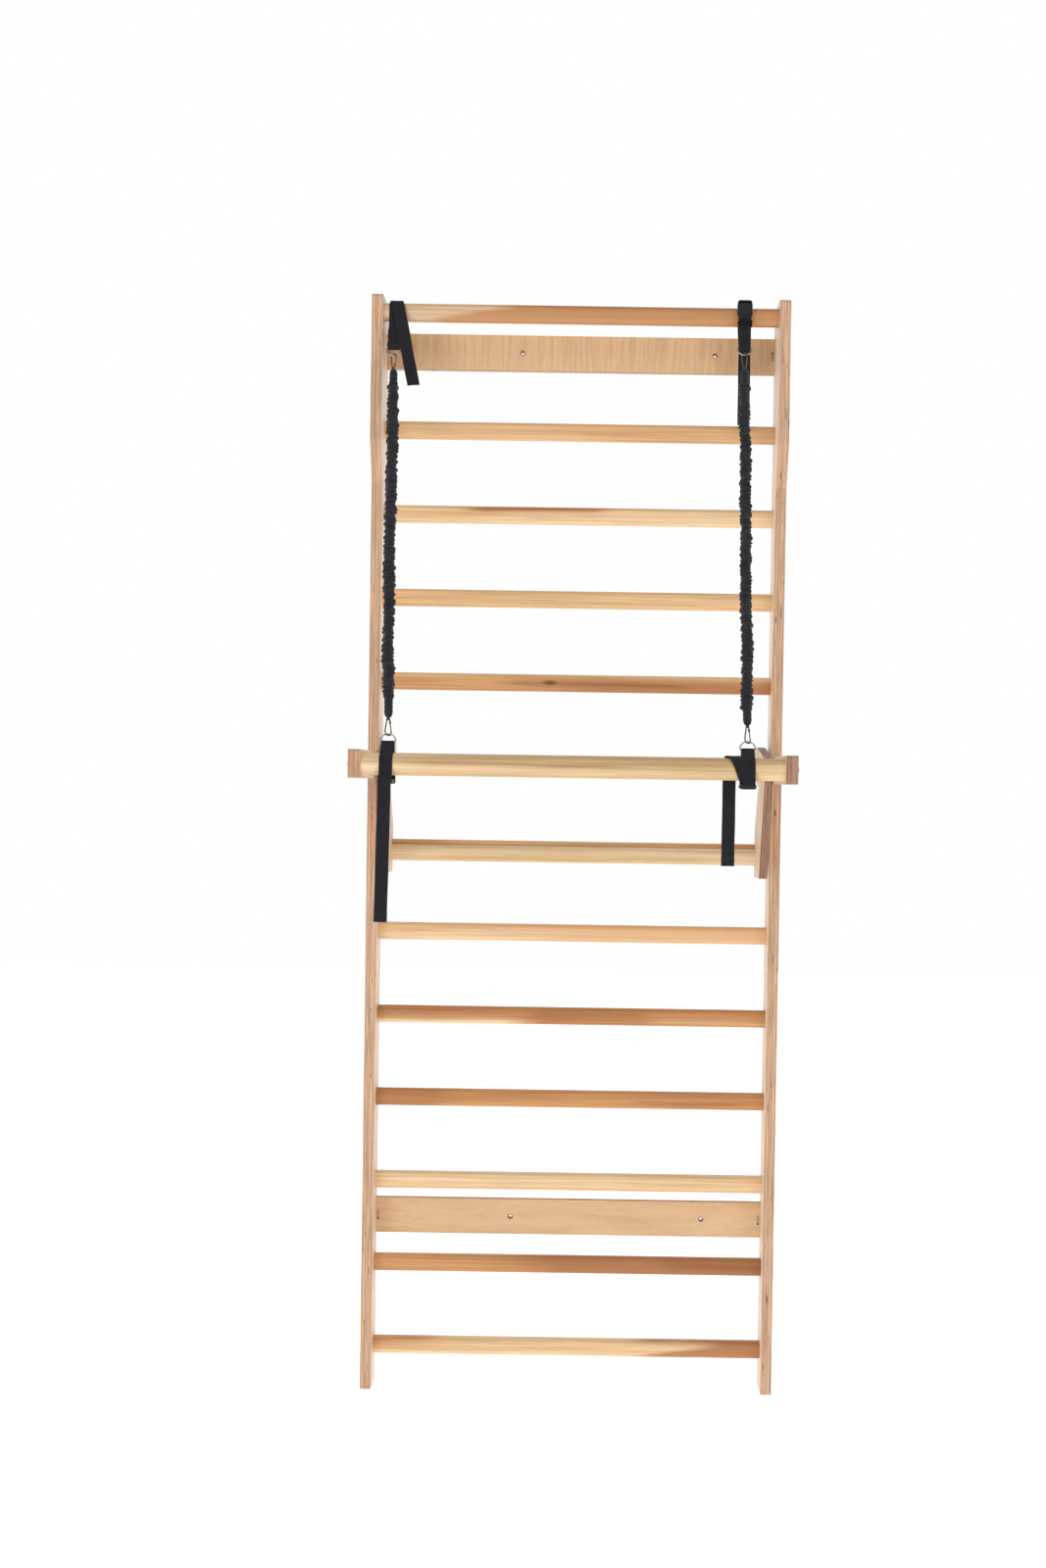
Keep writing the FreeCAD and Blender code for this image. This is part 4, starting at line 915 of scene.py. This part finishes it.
def strap(name, route, body, seed, soften_by=3, step=0.0009, nodes_replaced=()):
    """A length of webbing along a route: a flat band with rounded selvedges and a slight waver."""
    line = even(route, step, soften_by)
    rng = np.random.default_rng(seed)
    ways = np.gradient(line, axis=0)
    ways /= np.linalg.norm(ways, axis=1)[:, None]
    side = np.array([1.0, 0.0, 0.0]) - ways[:, :1] * ways
    side /= np.linalg.norm(side, axis=1)[:, None]
    out = np.cross(ways, side)
    gone = distances(line)
    across = np.linspace(-1, 1, 17)
    edge = np.sqrt(np.clip(1 - np.abs(across) ** 14, 0, 1))
    waver = sum(np.sin(gone * rng.uniform(25, 90) + rng.uniform(0, 6)) for _ in range(3)) / 3
    wide = STRAP_WIDE / 2 + 0.00022 * waver
    lift = 0.0002 * np.sin(gone * rng.uniform(30, 50) + rng.uniform(0, 6))
    section = list(zip(across, edge)) + list(zip(across[-2:0:-1], -edge[-2:0:-1]))
    count = len(section)
    points = []
    for n in range(len(line)):
        for a, e in section:
            cup = lift[n] * (a * a - 0.4)
            points.append(line[n] + side[n] * (a * wide[n]) + out[n] * (e * STRAP_THICK / 2 + cup))
    faces = []
    uvs = []
    for n in range(len(line) - 1):
        for j in range(count):
            k = (j + 1) % count
            faces.append((n * count + j, (n + 1) * count + j, (n + 1) * count + k, n * count + k))
            u, v = section[j][0] * STRAP_WIDE / 2, section[k][0] * STRAP_WIDE / 2
            uvs += [(u, gone[n]), (u, gone[n + 1]), (v, gone[n + 1]), (v, gone[n])]
    last = (len(line) - 1) * count
    for ring, flip in ((0, True), (last, False)):
        cap = [ring + j for j in range(count)]
        faces.append(tuple(reversed(cap)) if not flip else tuple(cap))
        uvs += [(0.0, 0.0)] * count
    piece = new_piece(name, points, faces, uvs)
    piece.data.materials.append(WEBBING)
    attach(piece, body)
    if nodes_replaced:
        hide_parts(*nodes_replaced)
    return line, side, out


def stitches(name, line, side, out, places, body):
    """Rows of lock stitches across a strap: places are (distance from its start, row count)."""
    gone = distances(line)
    points = []
    faces = []
    for distance, rows in places:
        distance = distance if distance >= 0 else gone[-1] + distance
        for row in range(rows):
            n = int(np.argmin(np.abs(gone - distance - row * 0.0035)))
            way = np.gradient(line, axis=0)[n]
            way /= np.linalg.norm(way)
            for stitch in range(-4, 5):
                middle = line[n] + side[n] * stitch * 0.00265
                for sign in (-1, 1):
                    seat = middle + sign * out[n] * (STRAP_THICK / 2 + 0.00005)
                    first = len(points)
                    for i in range(5):
                        reach = (i - 2) / 2 * 0.0011
                        bulge = 0.00034 * math.sqrt(max(0.08, 1 - ((i - 2) / 2) ** 2))
                        for j in range(8):
                            angle = 2 * math.pi * j / 8
                            off = way * math.cos(angle) * bulge + out[n] * math.sin(angle) * bulge
                            points.append(seat + side[n] * reach + off)
                    for i in range(4):
                        for j in range(8):
                            k = (j + 1) % 8
                            at = first + i * 8
                            faces.append((at + j, at + k, at + 8 + k, at + 8 + j))
                    faces.append(tuple(first + j for j in reversed(range(8))))
                    faces.append(tuple(first + 32 + j for j in range(8)))
    piece = new_piece(name, points, faces)
    piece.data.materials.append(THREAD)
    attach(piece, body)


thread = Shader("black thread", roughness=0.55, specular=0.5)
twist = thread.noise(thread.stretched(thread.place(), (4000, 900, 900)), 1.0, 2)
THREAD = thread.finish(thread.ramp(twist, [(0.3, srgb(34, 34, 39)), (0.7, srgb(70, 70, 78))]), height=twist)


def flat(x, pairs):
    return [(x, y, z) for y, z in pairs]


def inside(place, distance):
    """A point on a buckle's middle line, as (y, z); distances run from the mouth into the socket."""
    point = buckle_matrix(place) @ Vector((0, 0, distance))
    return (point.y, point.z)


def ring_mid(place):
    return (RING_POINTS[place].y, RING_POINTS[place].z)


def hemmed(route, back):
    """A tail's route with its end folded back on itself by a hem, on the side that back points to."""
    end = np.array(route[-1], float)
    way = end - np.array(route[-2], float)
    way /= np.linalg.norm(way)
    over = np.array(back, float) * STRAP_THICK
    folded = [end + way * 0.0006 + over * 0.15, end + way * 0.0008 + over * 0.55, end + over * 1.05]
    return list(route) + [tuple(p) for p in folded] + [tuple(end - way * 0.019 + over * 1.08)]


def corner(front, top):
    return (RUNG_MID[0] + (-CORNER_Y if front else CORNER_Y), RUNG_MID[1] + (CORNER_Z if top else -CORNER_Z))


# top left: the front run is plain and the buckle sits behind; the tail slants off over the front
route = [inside("top_left", -0.008), inside("top_left", -PLUG_LONG - 0.001)]
route += arc(ring_mid("top_left"), WIRE_R, -20, -200)
route += arc(corner(True, False), CORNER_R, -160 + 360, 180, 4) + arc(corner(True, True), CORNER_R, 180, 90)
route += arc(corner(False, True), CORNER_R, 90, 0) + arc(corner(False, False), CORNER_R, 0, -50, 5)
route += [inside("top_left", SOCKET_LONG + 0.001), inside("top_left", 0.034)]
line = strap("sling_top_left", flat(RING_POINTS["top_left"].x, route), "ladder", 3,
             nodes_replaced=["webbing_top_left"])
stitches("stitches_top_left", *line, [(0.034, 2)], "ladder")
route = [(-0.4060, -0.0800, 2.3818), (-0.4058, -0.0830, 2.3908), (-0.4050, -0.0920, 2.3934)]
route += [(-0.4035, -0.1010, 2.3938), (-0.4010, -0.1095, 2.3910), (-0.3985, -0.1148, 2.3836)]
route += [(-0.3950, -0.1172, 2.3690), (-0.3838, -0.1272, 2.3170), (-0.3722, -0.1390, 2.2600)]
route += [(-0.3592, -0.1500, 2.2010)]
line = strap("tail_top_left", hemmed(route, (0, 0.6, 0)), "ladder", 5)
stitches("hem_top_left", *line, [(-0.036, 2)], "ladder")

# top right: the buckle stands on the rung's front; the tail hangs straight behind
route = [inside("top_right", -0.008), inside("top_right", -PLUG_LONG - 0.001)]
route += arc(ring_mid("top_right"), WIRE_R, 180, 370)
route += arc(corner(False, False), CORNER_R, -40, 0, 5) + arc(corner(False, True), CORNER_R, 0, 90)
route += [(-0.1020, 2.3938), (-0.1105, 2.3972), inside("top_right", SOCKET_LONG - 0.003)]
route += [inside("top_right", 0.034)]
line = strap("sling_top_right", flat(RING_POINTS["top_right"].x, route), "ladder", 7,
             nodes_replaced=["webbing_top_right"])
stitches("stitches_top_right", *line, [(0.020, 2)], "ladder")
route = [(0.3570, -0.0930, 2.3928), (0.3572, -0.0835, 2.3912), (0.3575, -0.0772, 2.3845), (0.3580, -0.0758, 2.3670)]
route += [(0.3585, -0.0762, 2.3030), (0.3590, -0.0750, 2.2230), (0.3590, -0.0740, 2.1405)]
line = strap("tail_top_right", hemmed(route, (0, 1, 0)), "ladder", 9)
stitches("hem_top_right", *line, [(-0.036, 2)], "ladder")


def bar_sling(place, low_end, high_end, front_turn, seed):
    """A strap from the buckle under the bar up its front, through the ring and down its back."""
    reach = math.dist(ring_mid(place), BAR_MID)
    lean = PULL + math.degrees(math.acos((BAR_R - WIRE_R) / reach))
    rear = PULL - math.degrees(math.acos((BAR_R - WIRE_R) / reach))
    route = [inside(place, low_end)] + front_turn
    route += arc(BAR_MID, BAR_R, 182, lean, 5)
    route += arc(ring_mid(place), WIRE_R, lean, rear)
    route += arc(BAR_MID, BAR_R, rear, -12, 7)
    back = inside(place, high_end * 1.02)
    route += [(back[0] + 0.0035, back[1] + 0.011), (back[0] + 0.0025, back[1] + 0.003)]
    route += [back, inside(place, high_end * 0.8)]
    return strap(f"sling_{place}", flat(RING_POINTS[place].x, route), "bar_attachment", seed,
                 nodes_replaced=[f"webbing_{place}"])


# bottom left: the buckle lies under the bar, and the tail comes out over the strap's lowest turn
turn = [(-0.5060, 1.3450), (-0.5095, 1.3465), (-0.5103, 1.3510), (-0.5100, 1.3630)]
line = bar_sling("bottom_left", -0.009, SOCKET_LONG, turn, 13)
stitches("stitches_bottom_left", *line, [(0.066, 2)], "bar_attachment")
route = [(-0.3705, -0.4960, 1.3515), (-0.3705, -0.5070, 1.3570), (-0.3706, -0.5130, 1.3590), (-0.3706, -0.5145, 1.3530)]
route += [(-0.3706, -0.5145, 1.3210), (-0.3718, -0.5155, 1.2410), (-0.3733, -0.5140, 1.1510), (-0.3750, -0.5130, 1.0695)]
line = strap("tail_bottom_left", hemmed(route, (0, 1, 0)), "bar_attachment", 15)
stitches("hem_bottom_left", *line, [(-0.036, 2)], "bar_attachment")

# bottom right: the same, with a slanting second turn round the bar and the tail hanging behind it
turn = [(-0.5100, 1.3450), (-0.5125, 1.3470), (-0.5128, 1.3520), (-0.5105, 1.3650)]
line = bar_sling("bottom_right", 0.038, -PLUG_LONG, turn, 17)
stitches("stitches_bottom_right", *line, [(0.064, 2)], "bar_attachment")
outer = BAR_R + STRAP_THICK + 0.0003
route = []
for step in range(31):
    angle = math.radians(10 + 262 * step / 30)
    slide = max(0.0, (step - 8) / 22)
    x = 0.3125 + 0.0335 * slide ** 0.8
    route.append((x, BAR_MID[0] + outer * math.cos(angle), BAR_MID[1] + outer * math.sin(angle)))
strap("turn_bottom_right", route + [(0.3460, -0.4800, 1.3515)], "bar_attachment", 19, soften_by=2)
route = [(0.3118, -0.4615, 1.3910), (0.3112, -0.4597, 1.3770), (0.3110, -0.4593, 1.3410), (0.3112, -0.4588, 1.2810)]
route += [(0.3108, -0.4582, 1.2310), (0.3110, -0.4572, 1.1875)]
line = strap("tail_bottom_right", hemmed(route, (0, 1, 0)), "bar_attachment", 21)
stitches("hem_bottom_right", *line, [(-0.036, 2)], "bar_attachment")
